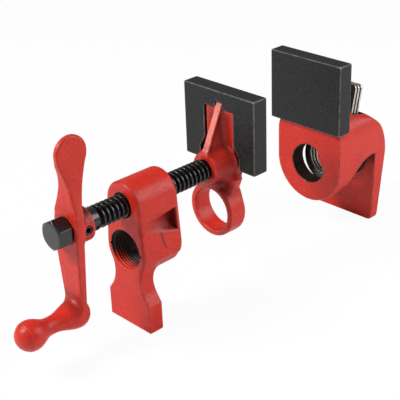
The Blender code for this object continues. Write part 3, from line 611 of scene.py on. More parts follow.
def helix_thread_tree():
    """A thread ridge wound along X: a trapezoid swept round a helix, thinning out at both ends."""
    tree, given, result = new_tree(
        "helix_thread", "GeometryNodeTree",
        {"Root Radius": 0.005, "Tooth Height": 0.001, "Foot Width": 0.002, "Crest Width": 0.001,
         "Crest Round": 0.0002, "Pitch": 0.003, "Turns": 10.0, "Facing": (0, 0, -math.pi / 2),
         "Phase": (0, 0, 0), "Start": (0, 0, 0), "Finish": "Material"},
        {"Geometry": "Geometry"})
    tooth = add(
        tree, "GeometryNodeCurvePrimitiveQuadrilateral",
        {"Height": given["Tooth Height"], "Bottom Width": given["Foot Width"],
         "Top Width": given["Crest Width"], "Offset": 0.0},
        mode="TRAPEZOID")
    half = math_of(tree, "MULTIPLY", given["Tooth Height"], 0.5)
    lift = add(tree, "ShaderNodeCombineXYZ", {"Y": half})
    raised = moved(tree, tooth.outputs[0], Translation=lift.outputs[0])
    faced = moved(tree, raised, Rotation=given["Facing"])
    rounded = add(
        tree, "GeometryNodeFilletCurve",
        {"Curve": faced, "Count": 2, "Radius": given["Crest Round"], "Limit Radius": True}, mode="POLY")
    rise = math_of(tree, "MULTIPLY", given["Pitch"], given["Turns"])
    helix = add(
        tree, "GeometryNodeCurveSpiral",
        {"Resolution": 72, "Rotations": given["Turns"], "Start Radius": given["Root Radius"],
         "End Radius": given["Root Radius"], "Height": rise, "Reverse": True})
    upright = add(tree, "GeometryNodeSetCurveNormal", {"Curve": helix.outputs[0]}, mode="Z_UP")
    along = add(tree, "GeometryNodeSplineParameter").outputs["Factor"]
    turn = math_of(tree, "MULTIPLY", along, given["Turns"])
    left = math_of(tree, "SUBTRACT", given["Turns"], turn)
    nearest = math_of(tree, "MINIMUM", turn, left)
    runout = ranged(tree, nearest, low=0.05, end=0.45, interpolation_type="SMOOTHSTEP")
    ridge = add(
        tree, "GeometryNodeCurveToMesh",
        {"Curve": upright.outputs[0], "Profile Curve": rounded.outputs[0], "Scale": runout,
         "Fill Caps": True})
    phased = moved(tree, ridge.outputs[0], Rotation=given["Phase"])
    laid = moved(tree, phased, Rotation=(0, math.pi / 2, 0), Translation=given["Start"])
    end_tree(tree, laid, given["Finish"], result)
    return tree


def coil_spring_tree():
    """A coil along X whose front end leans with the clutch plates."""
    tree, given, result = new_tree(
        "coil_spring", "GeometryNodeTree",
        {"Radius": 0.015, "Wire": 0.0016, "Turns": 2.5, "Front": 0.0, "Rear": 0.01, "Lean": 0.2,
         "Hinge Height": 0.024, "Axis Place": (0, 0, 0), "Finish": "Material"},
        {"Geometry": "Geometry"})
    coil = add(
        tree, "GeometryNodeCurveSpiral",
        {"Resolution": 64, "Rotations": given["Turns"], "Start Radius": given["Radius"],
         "End Radius": given["Radius"], "Height": 0.0, "Reverse": True})
    laid = moved(tree, coil.outputs[0], Rotation=(0, math.pi / 2, 0))
    started = moved(tree, laid, Rotation=(math.pi / 2, 0, 0))
    position = add(tree, "GeometryNodeInputPosition").outputs[0]
    height = add(tree, "ShaderNodeSeparateXYZ", {"Vector": position}).outputs["Z"]
    below = math_of(tree, "SUBTRACT", height, given["Hinge Height"])
    front = math_of(tree, "MULTIPLY_ADD", below, given["Lean"], given["Front"])
    along = add(tree, "GeometryNodeSplineParameter").outputs["Factor"]
    length = math_of(tree, "SUBTRACT", given["Rear"], front)
    station = math_of(tree, "MULTIPLY_ADD", length, along, front)
    offset = add(tree, "ShaderNodeCombineXYZ", {"X": station})
    stretched = add(tree, "GeometryNodeSetPosition", {"Geometry": started, "Offset": offset.outputs[0]})
    section = add(
        tree, "GeometryNodeCurvePrimitiveCircle",
        {"Resolution": 14, "Radius": math_of(tree, "MULTIPLY", given["Wire"], 0.5)}, mode="RADIUS")
    wire = add(
        tree, "GeometryNodeCurveToMesh",
        {"Curve": stretched.outputs[0], "Profile Curve": section.outputs[0], "Fill Caps": True})
    end_tree(tree, moved(tree, wire.outputs[0], Translation=given["Axis Place"]), given["Finish"], result)
    return tree


def grown(name, tree, values):
    """A plain mesh object made by a geometry tree with the given inputs."""
    obj = new_object(name, bpy.data.meshes.new(name))
    modifier = obj.modifiers.new(name, "NODES")
    modifier.node_group = tree
    for item in tree.interface.items_tree:
        if item.item_type == "SOCKET" and item.in_out == "INPUT" and item.name in values:
            modifier[item.identifier] = values[item.name]
    plain_mesh(obj)
    cleaned(obj.data)
    return obj


# Finishes


def cast_grain_group():
    """Height, mottle and speckle of a sand-cast, sprayed surface."""
    tree, given, result = new_tree(
        "cast_grain", "ShaderNodeTree",
        {"Vector": "Vector", "Grain Size": 0.001, "Lump Size": 0.012},
        {"Height": "Float", "Mottle": "Float", "Speckle": "Float"})
    noises = []
    for size, detail, roughness in (("Grain Size", 3.0, 0.55), ("Lump Size", 2.0, 0.5)):
        scale = math_of(tree, "DIVIDE", 1.0, given[size])
        values = {"Vector": given["Vector"], "Scale": scale, "Detail": detail, "Roughness": roughness}
        noises.append(add(tree, "ShaderNodeTexNoise", values).outputs["Fac"])
    grain, lumps = noises
    tree.links.new(math_of(tree, "MULTIPLY_ADD", lumps, 2.0, grain), result.inputs["Height"])
    tree.links.new(ranged(tree, lumps, start=0.32, end=0.68), result.inputs["Mottle"])
    tree.links.new(ranged(tree, grain, start=0.42, end=0.66), result.inputs["Speckle"])
    return tree


def edge_and_hollow_group():
    """Masks of the outer edges and inner corners, from a skin's bend, with the edges broken up by noise."""
    tree, given, result = new_tree(
        "edge_and_hollow", "ShaderNodeTree",
        {"Vector": "Vector", "Bend": 0.0, "Edge From": 0.25, "Edge To": 1.0, "Hollow To": 0.5},
        {"Edge": "Float", "Hollow": "Float"})
    broken = add(tree, "ShaderNodeTexNoise", {"Vector": given["Vector"], "Scale": 260.0, "Detail": 3.0})
    amount = ranged(tree, broken.outputs["Fac"], low=0.35, start=0.35, end=0.65)
    edge = ranged(
        tree, given["Bend"], start=given["Edge From"], end=given["Edge To"], interpolation_type="SMOOTHSTEP")
    down = math_of(tree, "MULTIPLY", given["Bend"], -1.0)
    hollow = ranged(tree, down, start=0.06, end=given["Hollow To"], interpolation_type="SMOOTHSTEP")
    tree.links.new(math_of(tree, "MULTIPLY", edge, amount), result.inputs["Edge"])
    tree.links.new(hollow, result.inputs["Hollow"])
    return tree


def tool_lines_group():
    """Fine turned or ground lines across one axis."""
    tree, given, result = new_tree(
        "tool_lines", "ShaderNodeTree",
        {"Vector": "Vector", "Stretch": (1, 1, 1), "Scale": 4000.0},
        {"Height": "Float", "Streak": "Float"})
    drawn = add(tree, "ShaderNodeVectorMath", operation="MULTIPLY")
    tree.links.new(given["Vector"], drawn.inputs[0])
    tree.links.new(given["Stretch"], drawn.inputs[1])
    lines = add(
        tree, "ShaderNodeTexNoise",
        {"Vector": drawn.outputs[0], "Scale": given["Scale"], "Detail": 2.0}).outputs["Fac"]
    tree.links.new(lines, result.inputs["Height"])
    tree.links.new(ranged(tree, lines, start=0.35, end=0.65), result.inputs["Streak"])
    return tree


CAST_GRAIN = cast_grain_group()
EDGE_AND_HOLLOW = edge_and_hollow_group()
TOOL_LINES = tool_lines_group()


def placed(tree, group, inputs):
    """Outputs of a shader group in a tree."""
    return add(tree, "ShaderNodeGroup", inputs, node_tree=group).outputs


def layer_of(tree, name):
    """The value that a piece's mesh carries under a name."""
    return add(tree, "ShaderNodeAttribute", attribute_name=name).outputs["Fac"]


def blend_colours(tree, factor, a, b):
    values = [v if isinstance(v, bpy.types.NodeSocket) else (*v, 1) for v in (a, b)]
    made = add(
        tree, "ShaderNodeMix", {"Factor_Float": factor, "A_Color": values[0], "B_Color": values[1]},
        data_type="RGBA")
    return next(s for s in made.outputs if s.identifier == "Result_Color")


def new_finish(name, **constants):
    """A material, its tree, its shader's inputs and object coordinates."""
    material = bpy.data.materials.new(name)
    material.use_nodes = True
    tree = material.node_tree
    inputs = tree.nodes["Principled BSDF"].inputs
    for label, value in constants.items():
        inputs[label.replace("_", " ")].default_value = value
    return material, tree, inputs, add(tree, "ShaderNodeTexCoord").outputs["Object"]


def set_look(tree, inputs, colour, roughness, **relief):
    """Link a shader's colour and roughness, and its relief where it has one."""
    tree.links.new(colour, inputs["Base Color"])
    tree.links.new(roughness, inputs["Roughness"])
    if relief:
        tree.links.new(add(tree, "ShaderNodeBump", relief).outputs[0], inputs["Normal"])


def mould_mark(tree, where):
    """Mask of the short mould mark on the head's side."""
    parts = add(tree, "ShaderNodeSeparateXYZ", {"Vector": where}).outputs
    middle = math_of(tree, "MULTIPLY_ADD", parts["Z"], MARK_LEAN, parts["X"])
    aside = math_of(tree, "ABSOLUTE", math_of(tree, "ADD", middle, MARK_PLACE))
    line = ranged(tree, aside, start=0.00095, end=0.0004)
    height = math_of(tree, "ABSOLUTE", math_of(tree, "SUBTRACT", parts["Z"], MARK_HEIGHT))
    short = ranged(tree, height, start=0.0075, end=0.004)
    side = math_of(tree, "LESS_THAN", parts["Y"], MARK_SIDE)
    mark = math_of(tree, "MULTIPLY", line, short)
    return math_of(tree, "MULTIPLY", mark, math_of(tree, "MULTIPLY", side, MARK_SHARE))


def tapped_colour(tree, where, mottle):
    """Dark bare iron, with red overspray low in the front of the pipe socket."""
    parts = add(tree, "ShaderNodeSeparateXYZ", {"Vector": where}).outputs
    front = FIELD_ORIGIN[0]
    axis = FIELD_ORIGIN[2]
    near = ranged(tree, parts["X"], start=front + SPRAY_REACH[0], end=front + SPRAY_REACH[1])
    low = ranged(tree, parts["Z"], start=axis - SPRAY_DROP[0], end=axis - SPRAY_DROP[1])
    spray = math_of(tree, "MULTIPLY", math_of(tree, "MULTIPLY", near, low), SPRAY_SHARE)
    return blend_colours(tree, spray, blend_colours(tree, mottle, IRON_BROWN, OXIDE_BLACK), ENAMEL_RED)


def enamel():
    """Sprayed red enamel on cast iron, with painted shade in its hollows and painted highlights on its
    edges.
    """
    material, tree, inputs, where = new_finish(
        "red_enamel", Specular_IOR_Level=0.3, Coat_Weight=0.07, Coat_Roughness=0.25)
    grain = placed(tree, CAST_GRAIN, {"Vector": where, "Grain Size": 0.0011, "Lump Size": 0.012})
    wear_and_painted_light = placed(tree, EDGE_AND_HOLLOW, {"Vector": where, "Bend": layer_of(tree, "bend")})
    rubbed = ranged(tree, grain["Speckle"], low=1.0, high=0.5)
    coats = [
        (math_of(tree, "MULTIPLY", grain["Mottle"], MOTTLE_SHARE), ENAMEL_DEEP),
        (math_of(tree, "MULTIPLY", grain["Speckle"], SPECKLE_SHARE), ENAMEL_DEEP),
        # Paler edges, partly wear and partly painted highlight
        (wear_and_painted_light["Edge"], ENAMEL_EDGE),
        # Painted highlight along the gusset's sloping edge, broken up by the speckle
        (math_of(tree, "MULTIPLY", layer_of(tree, "rubbed"), rubbed), ENAMEL_HIGHLIGHT),
        # Painted shade: darker red in sheltered places and in inner corners
        (ranged(tree, layer_of(tree, "shelter"), high=0.95, end=0.58), ENAMEL_SHADE_AND_MARK),
        (math_of(tree, "MULTIPLY", wear_and_painted_light["Hollow"], HOLLOW_SHADE_SHARE), ENAMEL_SHADE_AND_MARK),
        (mould_mark(tree, where), ENAMEL_SHADE_AND_MARK),
        # Dark iron: bare in the tapped and drilled bores, painted shade in the tail's chamber and spring
        # seat
        (layer_of(tree, "bare"), tapped_colour(tree, where, grain["Mottle"])),
    ]
    colour = ENAMEL_RED
    for share, coat in coats:
        colour = blend_colours(tree, share, colour, coat)
    dull = ranged(tree, grain["Speckle"], low=0.36, high=0.52)
    set_look(tree, inputs, colour, dull, Height=grain["Height"], Strength=0.8, Distance=0.00025)
    return material


def pad_plastic():
    """Moulded black plastic with a fine matt grain, and painted highlights along its edges."""
    material, tree, inputs, where = new_finish("black_plastic", Specular_IOR_Level=0.25)
    bend = layer_of(tree, "bend")
    grain = placed(tree, CAST_GRAIN, {"Vector": where, "Grain Size": 0.0012, "Lump Size": 0.02})
    wear_and_painted_light = placed(tree, EDGE_AND_HOLLOW, {"Vector": where, "Bend": bend, "Edge From": 0.5, "Edge To": 1.6})
    colour = blend_colours(tree, grain["Speckle"], PAD_BLACK, PAD_GRAIN)
    # Painted highlight along the pads' edges
    colour = blend_colours(tree, wear_and_painted_light["Edge"], colour, PAD_EDGE_HIGHLIGHT)
    dull = ranged(tree, grain["Speckle"], low=0.48, high=0.62)
    set_look(tree, inputs, colour, dull, Height=grain["Height"], Strength=0.6, Distance=0.0002)
    return material


def oxide_steel():
    """Black oxide with bright worn edges and an oil film."""
    material, tree, inputs, where = new_finish(
        "black_oxide_steel", Specular_IOR_Level=0.4, Coat_Weight=0.2, Coat_Roughness=0.1)
    bend = layer_of(tree, "bend")
    lines = placed(tree, TOOL_LINES, {"Vector": where, "Stretch": (1, 0.05, 0.05), "Scale": 3000.0})
    wear_and_painted_light = placed(tree, EDGE_AND_HOLLOW, {"Vector": where, "Bend": bend, "Edge From": 0.6, "Edge To": 2.0})
    colour = blend_colours(tree, wear_and_painted_light["Edge"], OXIDE_BLACK, OXIDE_WORN)
    dull = ranged(tree, lines["Streak"], low=0.18, high=0.3)
    set_look(tree, inputs, colour, dull, Height=lines["Height"], Strength=0.12, Distance=0.0001)
    return material


def bare_iron():
    """Tapped iron, brown and dark, with red overspray on the lower front turns."""
    material, tree, inputs, where = new_finish("tapped_iron", Metallic=0.35)
    grain = placed(tree, CAST_GRAIN, {"Vector": where, "Grain Size": 0.0008, "Lump Size": 0.008})
    colour = tapped_colour(tree, where, grain["Mottle"])
    dull = ranged(tree, grain["Speckle"], low=0.4, high=0.6)
    set_look(tree, inputs, colour, dull, Height=grain["Height"], Strength=0.2, Distance=0.0001)
    return material


def zinc_plate():
    """Zinc plate over stamped steel, bright on the sheared rims and dull on the faces."""
    material, tree, inputs, where = new_finish("zinc_plated_steel", Metallic=1.0)
    lines = placed(tree, TOOL_LINES, {"Vector": where, "Stretch": (1, 0.04, 0.04), "Scale": 2600.0})
    rim = layer_of(tree, "rim")
    colour = blend_colours(tree, lines["Streak"], ZINC, ZINC_DULL)
    colour = blend_colours(tree, rim, SCALE_GREY, colour)
    smooth = ranged(tree, lines["Streak"], low=0.3, high=0.45)
    dull = math_of(tree, "SUBTRACT", smooth, ranged(tree, rim, low=-0.35, high=0.0))
    set_look(tree, inputs, colour, dull, Height=lines["Height"], Strength=0.15, Distance=0.0001)
    return material


def spring_steel():
    """Dark drawn wire."""
    material, tree, inputs, where = new_finish("spring_steel", Metallic=0.9)
    grain = placed(tree, CAST_GRAIN, {"Vector": where, "Grain Size": 0.0007, "Lump Size": 0.006})
    colour = blend_colours(tree, grain["Mottle"], SPRING_GREY, OXIDE_WORN)
    set_look(tree, inputs, colour, ranged(tree, grain["Speckle"], low=0.25, high=0.4))
    return material


# The pieces' fields


def head_outline():
    """Front view: screw boss over pipe boss, drawn in to a waist and out to the foot."""
    lean = math.degrees(math.asin((PIPE_BOSS - SCREW_BOSS) / SCREW_RISE))
    waist = WAIST_WIDTH / 2
    foot = FOOT_WIDTH / 2
    upper = (WAIST_DROP ** 2 + waist ** 2 - PIPE_BOSS ** 2) / (2 * (PIPE_BOSS - waist))
    leave = math.degrees(math.atan2(WAIST_DROP, waist + upper))
    down = FOOT_DROP - FLARE_HEIGHT - WAIST_DROP
    aside = foot - waist - FLARE_ROUND
    toward = math.degrees(math.atan2(-down, aside)) % 360
    sweep = toward - 180 - math.degrees(math.acos(FLARE_ROUND / math.hypot(aside, down)))
    half = arc((0, SCREW_RISE), SCREW_BOSS, 90, lean, 24)
    half += arc((0, 0), PIPE_BOSS, lean, -leave, 20)
    half += arc((waist + upper, -WAIST_DROP), upper, 180 - leave, 180, 20)[1:]
    half += arc((waist + FLARE_ROUND, -WAIST_DROP), FLARE_ROUND, 180, 180 + sweep, 12)[1:]
    return mirrored(half + [(foot, FLARE_HEIGHT - FOOT_DROP), (foot, -FOOT_DROP)])


def head_side():
    """Side view: foot plate at the front, and a body with a rounded lower rear corner."""
    side = [(0, OPEN_TOP), (0, -FOOT_DROP), (FOOT_THICKNESS, -FOOT_DROP)]
    side += arc((FOOT_THICKNESS + FOOT_FILLET, -BODY_DROP - FOOT_FILLET), FOOT_FILLET, 180, 90, 16)
    side += arc((HEAD_LENGTH - BODY_ROUND, BODY_ROUND - BODY_DROP), BODY_ROUND, -90, 0, 20)
    return side + [(HEAD_LENGTH, OPEN_TOP)]


HEAD_OUTLINE = head_outline()
HEAD_SIDE = head_side()


def head_field(x, y, z):
    soft = FOOT_EDGE + (BODY_EDGE - FOOT_EDGE) * ease(z, *EDGE_CHANGE)
    body = trim(outline(y, z, HEAD_OUTLINE), outline(x, z, HEAD_SIDE), edge=soft)
    under = trim(PIPE_BOSS - np.hypot(y, z), UNDERCUT_START - x, edge=6)
    body = cut(body, np.maximum(under, z - UNDERCUT_TOP), edge=2.5)
    wall = PIPE_BOSS + (SCREW_BOSS - PIPE_BOSS) * POCKET_RISE / SCREW_RISE
    share = np.clip((x - POCKET_START) / (POCKET_END - POCKET_START), 0, 1)
    radius = POCKET_RADIUS * (POCKET_TIP + (1 - POCKET_TIP) * share)
    aside = np.abs(y) - wall - radius + POCKET_DEPTH * share - POCKET_LIP
    scoop = rod(aside, z - POCKET_RISE + POCKET_SINK * share, radius)
    soft = POCKET_SOFT + (POCKET_CRISP - POCKET_SOFT) * share
    body = cut(body, np.maximum(scoop, x - POCKET_END), edge=soft)
    body = cut(body, rod(y, z - SCREW_RISE, SCREW_RADIUS + NUT_PLAY), edge=0.8)
    body = cut(body, rod(y, z, SOCKET_RADIUS), edge=0.3)
    return cut(body, outline(np.abs(y), z, PIPE_NOTCH) + 0 * x, edge=0.5)


def crank_side():
    """Side view: a rounded wing above the hub and the arm below it."""
    body = HUB_FRONT + ARM_STEP
    end = ARM_GAP - CRANK_REACH
    wing = (HUB_FRONT + WING_STEP + WING_RADIUS, WING_REACH - WING_RADIUS)
    side = [(GRIP_ELBOW, end), (body, -1.3 * HUB_RADIUS)]
    side += [(HUB_FRONT + along, up) for along, up in WAIST_FRONT]
    side += arc(wing, WING_RADIUS, 180, -20, 36)
    side += [(HUB_FRONT + along, up) for along, up in WAIST_REAR]
    return side + [(body + ARM_ROOT_THICKNESS, -1.1 * HUB_RADIUS), (GRIP_ELBOW + ARM_END_THICKNESS, end)]


def crank_front():
    """Front view: a thin wing that swells to the hub, and the tapering arm."""
    thin = WING_THICKNESS / 2
    wide = ARM_ROOT_WIDTH / 2
    narrow = ARM_END_WIDTH / 2
    wing_bottom = WING_REACH - WING_RADIUS
    half = [(thin, WING_REACH + OVERRUN)]
    for i in range(SWELL_STEPS + 1):
        share = i / SWELL_STEPS
        swell = (wide - thin) * share ** SWELL_POWER
        half.append((thin + swell, wing_bottom + (HUB_RADIUS - wing_bottom) * share))
    half += [(wide, -1.2 * HUB_RADIUS), (narrow, -CRANK_REACH), (narrow, -CRANK_REACH - OVERRUN)]
    return mirrored(half)


CRANK_SIDE = crank_side()
CRANK_FRONT = crank_front()


def crank_field(x, y, z):
    up = z - SCREW_RISE
    body = trim(outline(x, up, CRANK_SIDE), outline(y, up, CRANK_FRONT), edge=1.7)
    hub = trim(rod(y, up, HUB_RADIUS), slab(x, HUB_FRONT + BARREL_STEP, HUB_REAR), edge=1.3)
    drop = np.hypot(y, up + CRANK_REACH)
    ball = rod(x - BALL_CENTRE, drop, BALL_RADIUS)
    elbow = rod(x - GRIP_ELBOW, drop, ELBOW_RADIUS)
    swell = (ELBOW_RADIUS - GRIP_NECK) * ease(x, GRIP_ELBOW - GRIP_FLARE, GRIP_ELBOW)
    neck = np.maximum(drop - GRIP_NECK - swell, slab(x, BALL_CENTRE, GRIP_ELBOW))
    grip = np.minimum(join(ball, neck, fillet=5), elbow)
    solid = join(join(body, hub, fillet=2.4), grip, fillet=4)
    solid = cut(solid, rod(y, up, HUB_BORE), edge=0.6)
    return cut(solid, rod(x - PIN_STATION, up, PIN_HOLE), edge=0.6)


def tongue_plate(y, z):
    """Front view of a tongue on its round flange."""
    blade = np.maximum(np.abs(y) - TONGUE_WIDTH / 2, slab(z, SCREW_RISE, TONGUE_TOP))
    return np.minimum(rod(y, z - SCREW_RISE, FLANGE_RADIUS), blade)


JAW_SHOULDER = mirrored([(12.5, 6), (13, 12), (13.6, 15), (15.6, 18.5), (17, 22.5), (11, 27)])


def gusset_edge(z):
    """Place along the screw of the gusset's sloping edge at a height."""
    return GUSSET_FRONT + (TONGUE_BACK - GUSSET_FRONT) * (z - GUSSET_FOOT) / (GUSSET_TOP - GUSSET_FOOT)


def jaw_field(x, y, z):
    around = np.hypot(y, z - SCREW_RISE)
    share = np.clip((x - COLLAR_FRONT) / (TONGUE_BACK - COLLAR_FRONT), 0, 1)
    cone = around - COLLAR_RADIUS - (FLANGE_RADIUS - COLLAR_RADIUS) * share ** CONE_POWER
    collar = trim(cone, slab(x, COLLAR_FRONT, TONGUE_BACK + LAP), edge=1.2)
    plate = trim(tongue_plate(y, z), slab(x, TONGUE_BACK, TONGUE_FRONT), edge=0.9)
    slope = [(GUSSET_FRONT, GUSSET_ROOT), (GUSSET_FRONT, GUSSET_FOOT), (TONGUE_BACK, GUSSET_TOP)]
    slope += [(TONGUE_BACK + LAP, GUSSET_TOP), (TONGUE_BACK + LAP, GUSSET_ROOT)]
    behind = np.clip(x - gusset_edge(z) - FLARE_START, 0, TONGUE_BACK - COLLAR_FRONT)
    half = GUSSET_THICKNESS / 2 + GUSSET_FLARE * behind
    gusset = trim(outline(x, z, slope), np.abs(y) - half, edge=0.9)
    ring = trim(rod(y, z, RING_BORE + RING_WALL), slab(x, RING_BACK, RING_FRONT), edge=1.8)
    web = np.maximum(np.abs(y) - WEB_WIDTH / 2, slab(z, WEB_BOTTOM, WEB_TOP))
    web = np.maximum(web, slab(x, RING_BACK + WEB_INSET, RING_FRONT - WEB_INSET))
    shoulder = trim(outline(y, z, JAW_SHOULDER), slab(x, SHOULDER_BACK, SHOULDER_FRONT), edge=3)
    solid = join(join(collar, plate, fillet=2), ring, fillet=4.5)
    solid = join(join(solid, web, fillet=3), shoulder, fillet=4)
    solid = join(solid, gusset, fillet=3)
    solid = cut(solid, rod(y, z, RING_BORE), edge=1.2)
    solid = cut(solid, np.maximum(around - THREAD_ROOT - BORE_PLAY, x - THREAD_BORE_END), edge=0.7)
    solid = cut(solid, around - JOURNAL_RADIUS - BORE_PLAY, edge=0.4)
    return cut(solid, np.maximum(around - RECESS_RADIUS, GROOVE_START - x), edge=0.5)


def gusset_rubbed(x, y, z):
    """Sloping edge of the jaw's gusset, where a pale painted highlight is laid on the enamel."""
    return (np.abs(y) < GUSSET_THICKNESS / 2 - 0.3) & (x < gusset_edge(z + 1)) & (z > GUSSET_FOOT + 1)


def pad_field(x, y, z):
    block = trim(np.abs(y) - PAD_WIDTH / 2, slab(z, PAD_BOTTOM, PAD_TOP), edge=0.9)
    block = trim(block, slab(x, PAD_BACK, PAD_FRONT), edge=0.9)
    inner = TONGUE_WIDTH / 2 + TONGUE_PLAY
    outer = FLANGE_RADIUS + FLANGE_PLAY
    half = [(inner, TONGUE_TOP + TOP_PLAY), (inner, SCREW_RISE + FLANGE_RADIUS)]
    half += [(outer, SCREW_RISE + FLANGE_RADIUS / 2), (outer, PAD_BOTTOM - PAD_OVERRUN)]
    pocket = np.maximum(outline(y, z, mirrored(half)), x - POCKET_FLOOR)
    notch = np.maximum(np.abs(y) - NOTCH_WIDTH / 2, slab(z, NOTCH_BOTTOM, GUSSET_TOP + TOP_PLAY))
    return cut(block, np.minimum(pocket, np.maximum(notch, x - NOTCH_FLOOR)), edge=0.6)


def tail_pad_field(x, y, z):
    return pad_field(PAD_TURN - x, y, z)


def tail_side():
    """Side view: ledge for the pad, arched roof, rear leg and the arch under the cheeks."""
    meet = math.degrees(math.acos((CHAMBER_REAR - ARCH_CENTRE[0]) / ARCH_RADIUS))
    side = [(TAIL_FACE, -CHEEK_DROP), (TAIL_FACE, TAIL_LEDGE)]
    side += [(TAIL_SHOULDER, TAIL_LEDGE), (TAIL_SHOULDER, ROOF_TOP)]
    side += arc((TAIL_REAR - ROOF_RADIUS, ROOF_TOP - ROOF_RADIUS), ROOF_RADIUS, 90, 0, 40)
    side += [(LEG_REAR, -FOOT_DROP), (LEG_FRONT, -FOOT_DROP)]
    side += arc(ARCH_CENTRE, ARCH_RADIUS, meet, 180, 32)
    return side + [(ARCH_CENTRE[0] - ARCH_RADIUS, -CHEEK_DROP)]


def leg_outline():
    """Front view of the rear leg, drawn in to its foot."""
    corner = (TAIL_FOOT_WIDTH / 2 - LEG_ROUND, LEG_ROUND - FOOT_DROP)
    half = [(TAIL_WIDTH / 2, OPEN_TOP), (TAIL_WIDTH / 2, 0)]
    return mirrored(half + arc(corner, LEG_ROUND, 0, -90, 8))


TAIL_SIDE = tail_side()
LEG_OUTLINE = leg_outline()


def tail_field(x, y, z):
    barrel = np.where(z > 0, np.hypot(y, z), np.abs(y)) - ROOF_TOP
    cheeks = np.where(z > 0, np.abs(y), np.hypot(y, z)) - TAIL_WIDTH / 2
    leg = np.maximum(outline(y, z, LEG_OUTLINE), ARCH_CENTRE[0] - x)
    body = trim(outline(x, z, TAIL_SIDE), np.minimum(cheeks, leg), edge=1.1)
    body = trim(body, barrel, edge=6)
    chamber = np.maximum(np.abs(y) - CHAMBER_WIDTH / 2, z - CHAMBER_TOP)
    body = cut(body, np.maximum(chamber, slab(x, CHAMBER_FRONT, CHAMBER_REAR)), edge=1)
    slot = np.maximum(np.abs(y) - SLOT_WIDTH / 2, slab(z, SLOT_BOTTOM, OPEN_TOP))
    body = cut(body, np.maximum(slot, slab(x, SLOT_FRONT, SLOT_REAR)), edge=0.9)
    body = cut(body, np.maximum(rod(y, z, PIPE_RADIUS + FRONT_PLAY), x - FRONT_BORE_END), edge=0.7)
    body = cut(body, np.maximum(rod(y, z, PIPE_RADIUS + REAR_PLAY), REAR_BORE_START - x), edge=0.7)
    body = cut(body, np.maximum(rod(y, z, SEAT_RADIUS), slab(x, REAR_BORE_START, SEAT_FLOOR)), edge=0.6)
    plate = trim(tongue_plate(y, z), slab(x, *TAIL_TONGUE), edge=0.9)
    gusset = trim(outline(x, z, TAIL_GUSSET), np.abs(y) - GUSSET_THICKNESS / 2, edge=0.9)
    return join(np.minimum(body, plate), gusset, fillet=1.6)


def head_bare(x, y, z):
    """Tapped bores, with a margin for their rounded edges."""
    around = np.hypot(y, z)
    inside = slab(x, 0.5, HEAD_LENGTH - 0.5) < 0
    socket = (around < SOCKET_RADIUS + 0.2) | ((around < PIPE_BOSS - 2) & inside)
    return socket | (np.hypot(y, z - SCREW_RISE) < SCREW_RADIUS + 0.8)


def tail_bare(x, y, z):
    """Bare drilled bores, and the chamber and spring seat darkened as painted shade, with a margin for their
    rounded edges.
    """
    around = np.hypot(y, z)
    step = CHAMBER_REAR - 2
    seat = (around < SEAT_RADIUS + 0.3) & (x > step) & (x < SEAT_FLOOR + 0.5)
    chamber = (np.abs(y) < CHAMBER_WIDTH / 2 + 0.3) & (x > CHAMBER_FRONT - 0.4) & (x < step)
    return (around < PIPE_RADIUS + 0.9) | seat | (chamber & (z < CHAMBER_TOP + 1))


def hex_field(x, y, z):
    up = z - SCREW_RISE
    flats = -HEX_FLATS
    for angle in (0, 60, 120):
        turn = math.radians(angle)
        flats = np.maximum(flats, np.abs(y * math.cos(turn) + up * math.sin(turn)) - HEX_FLATS / 2)
    body = trim(flats, slab(x, HEX_FRONT, HEX_BACK), edge=0.35)
    across = rod(y, up, CHAMFER_START * HEX_FLATS / 2)
    return trim(body, across * CHAMFER_ACROSS - (x - HEX_FRONT) * CHAMFER_ALONG, edge=0.35)


# Building


def finish_piece(obj, body, material, slot, *nodes):
    """Give a piece its finish, its body and the CAD nodes that it stands for."""
    obj.data.materials.clear()
    obj.data.materials.append(material)
    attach(obj, body)
    if nodes:
        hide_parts(*nodes)


def tooth_values(root, height, foot, crest, corner):
    """Inputs for a thread's section: radius at its root, height, widths and round of its crest."""
    names = ("Root Radius", "Tooth Height", "Foot Width", "Crest Width", "Crest Round")
    return {name: size * MM for name, size in zip(names, (root, height, foot, crest, corner))}


def thread_values(start, end, pitch, height, material):
    """Inputs that every thread takes from its ends and pitch."""
    return {
        "Pitch": pitch * MM,
        "Turns": (end - start) / pitch,
        "Phase": (0, 0, 2 * math.pi * (start / pitch % 1)),
        "Start": tuple(FIELD_ORIGIN + np.array((start, 0, height)) * MM),
        "Finish": material,
    }


def build_castings(red):
    head = cast("head", head_field, (0, -19, -52), (31, 19, 45), 0.6, bare=head_bare)
    finish_piece(head, "head", red, "red_enamel", "head_casting")
    crank = cast("crank", crank_field, (-83, -11, -37), (-21, 11, 85), 0.6)
    finish_piece(crank, "screw", red, "red_enamel", "crank_handle")
    jaw = cast("jaw", jaw_field, (66, -19, -19), (86, 19, 70), 0.6, rubbed=gusset_rubbed)
    finish_piece(jaw, "jaw", red, "red_enamel", "sliding_jaw")
    tail = cast("tail_stop", tail_field, (165, -28, -52), (218, 28, 70), 0.7, bare=tail_bare)
    finish_piece(tail, "tail", red, "red_enamel", "tail_casting")


def build_pads(plastic):
    jaw_pad = cast("jaw_face_pad", pad_field, (80, -30, 28), (92, 30, 78), 0.55)
    finish_piece(jaw_pad, "jaw", plastic, "black_plastic", "jaw_pad")
    tail_pad = cast("tail_face_pad", tail_pad_field, (160, -30, 28), (173, 30, 78), 0.55)
    finish_piece(tail_pad, "tail", plastic, "black_plastic", "tail_pad")


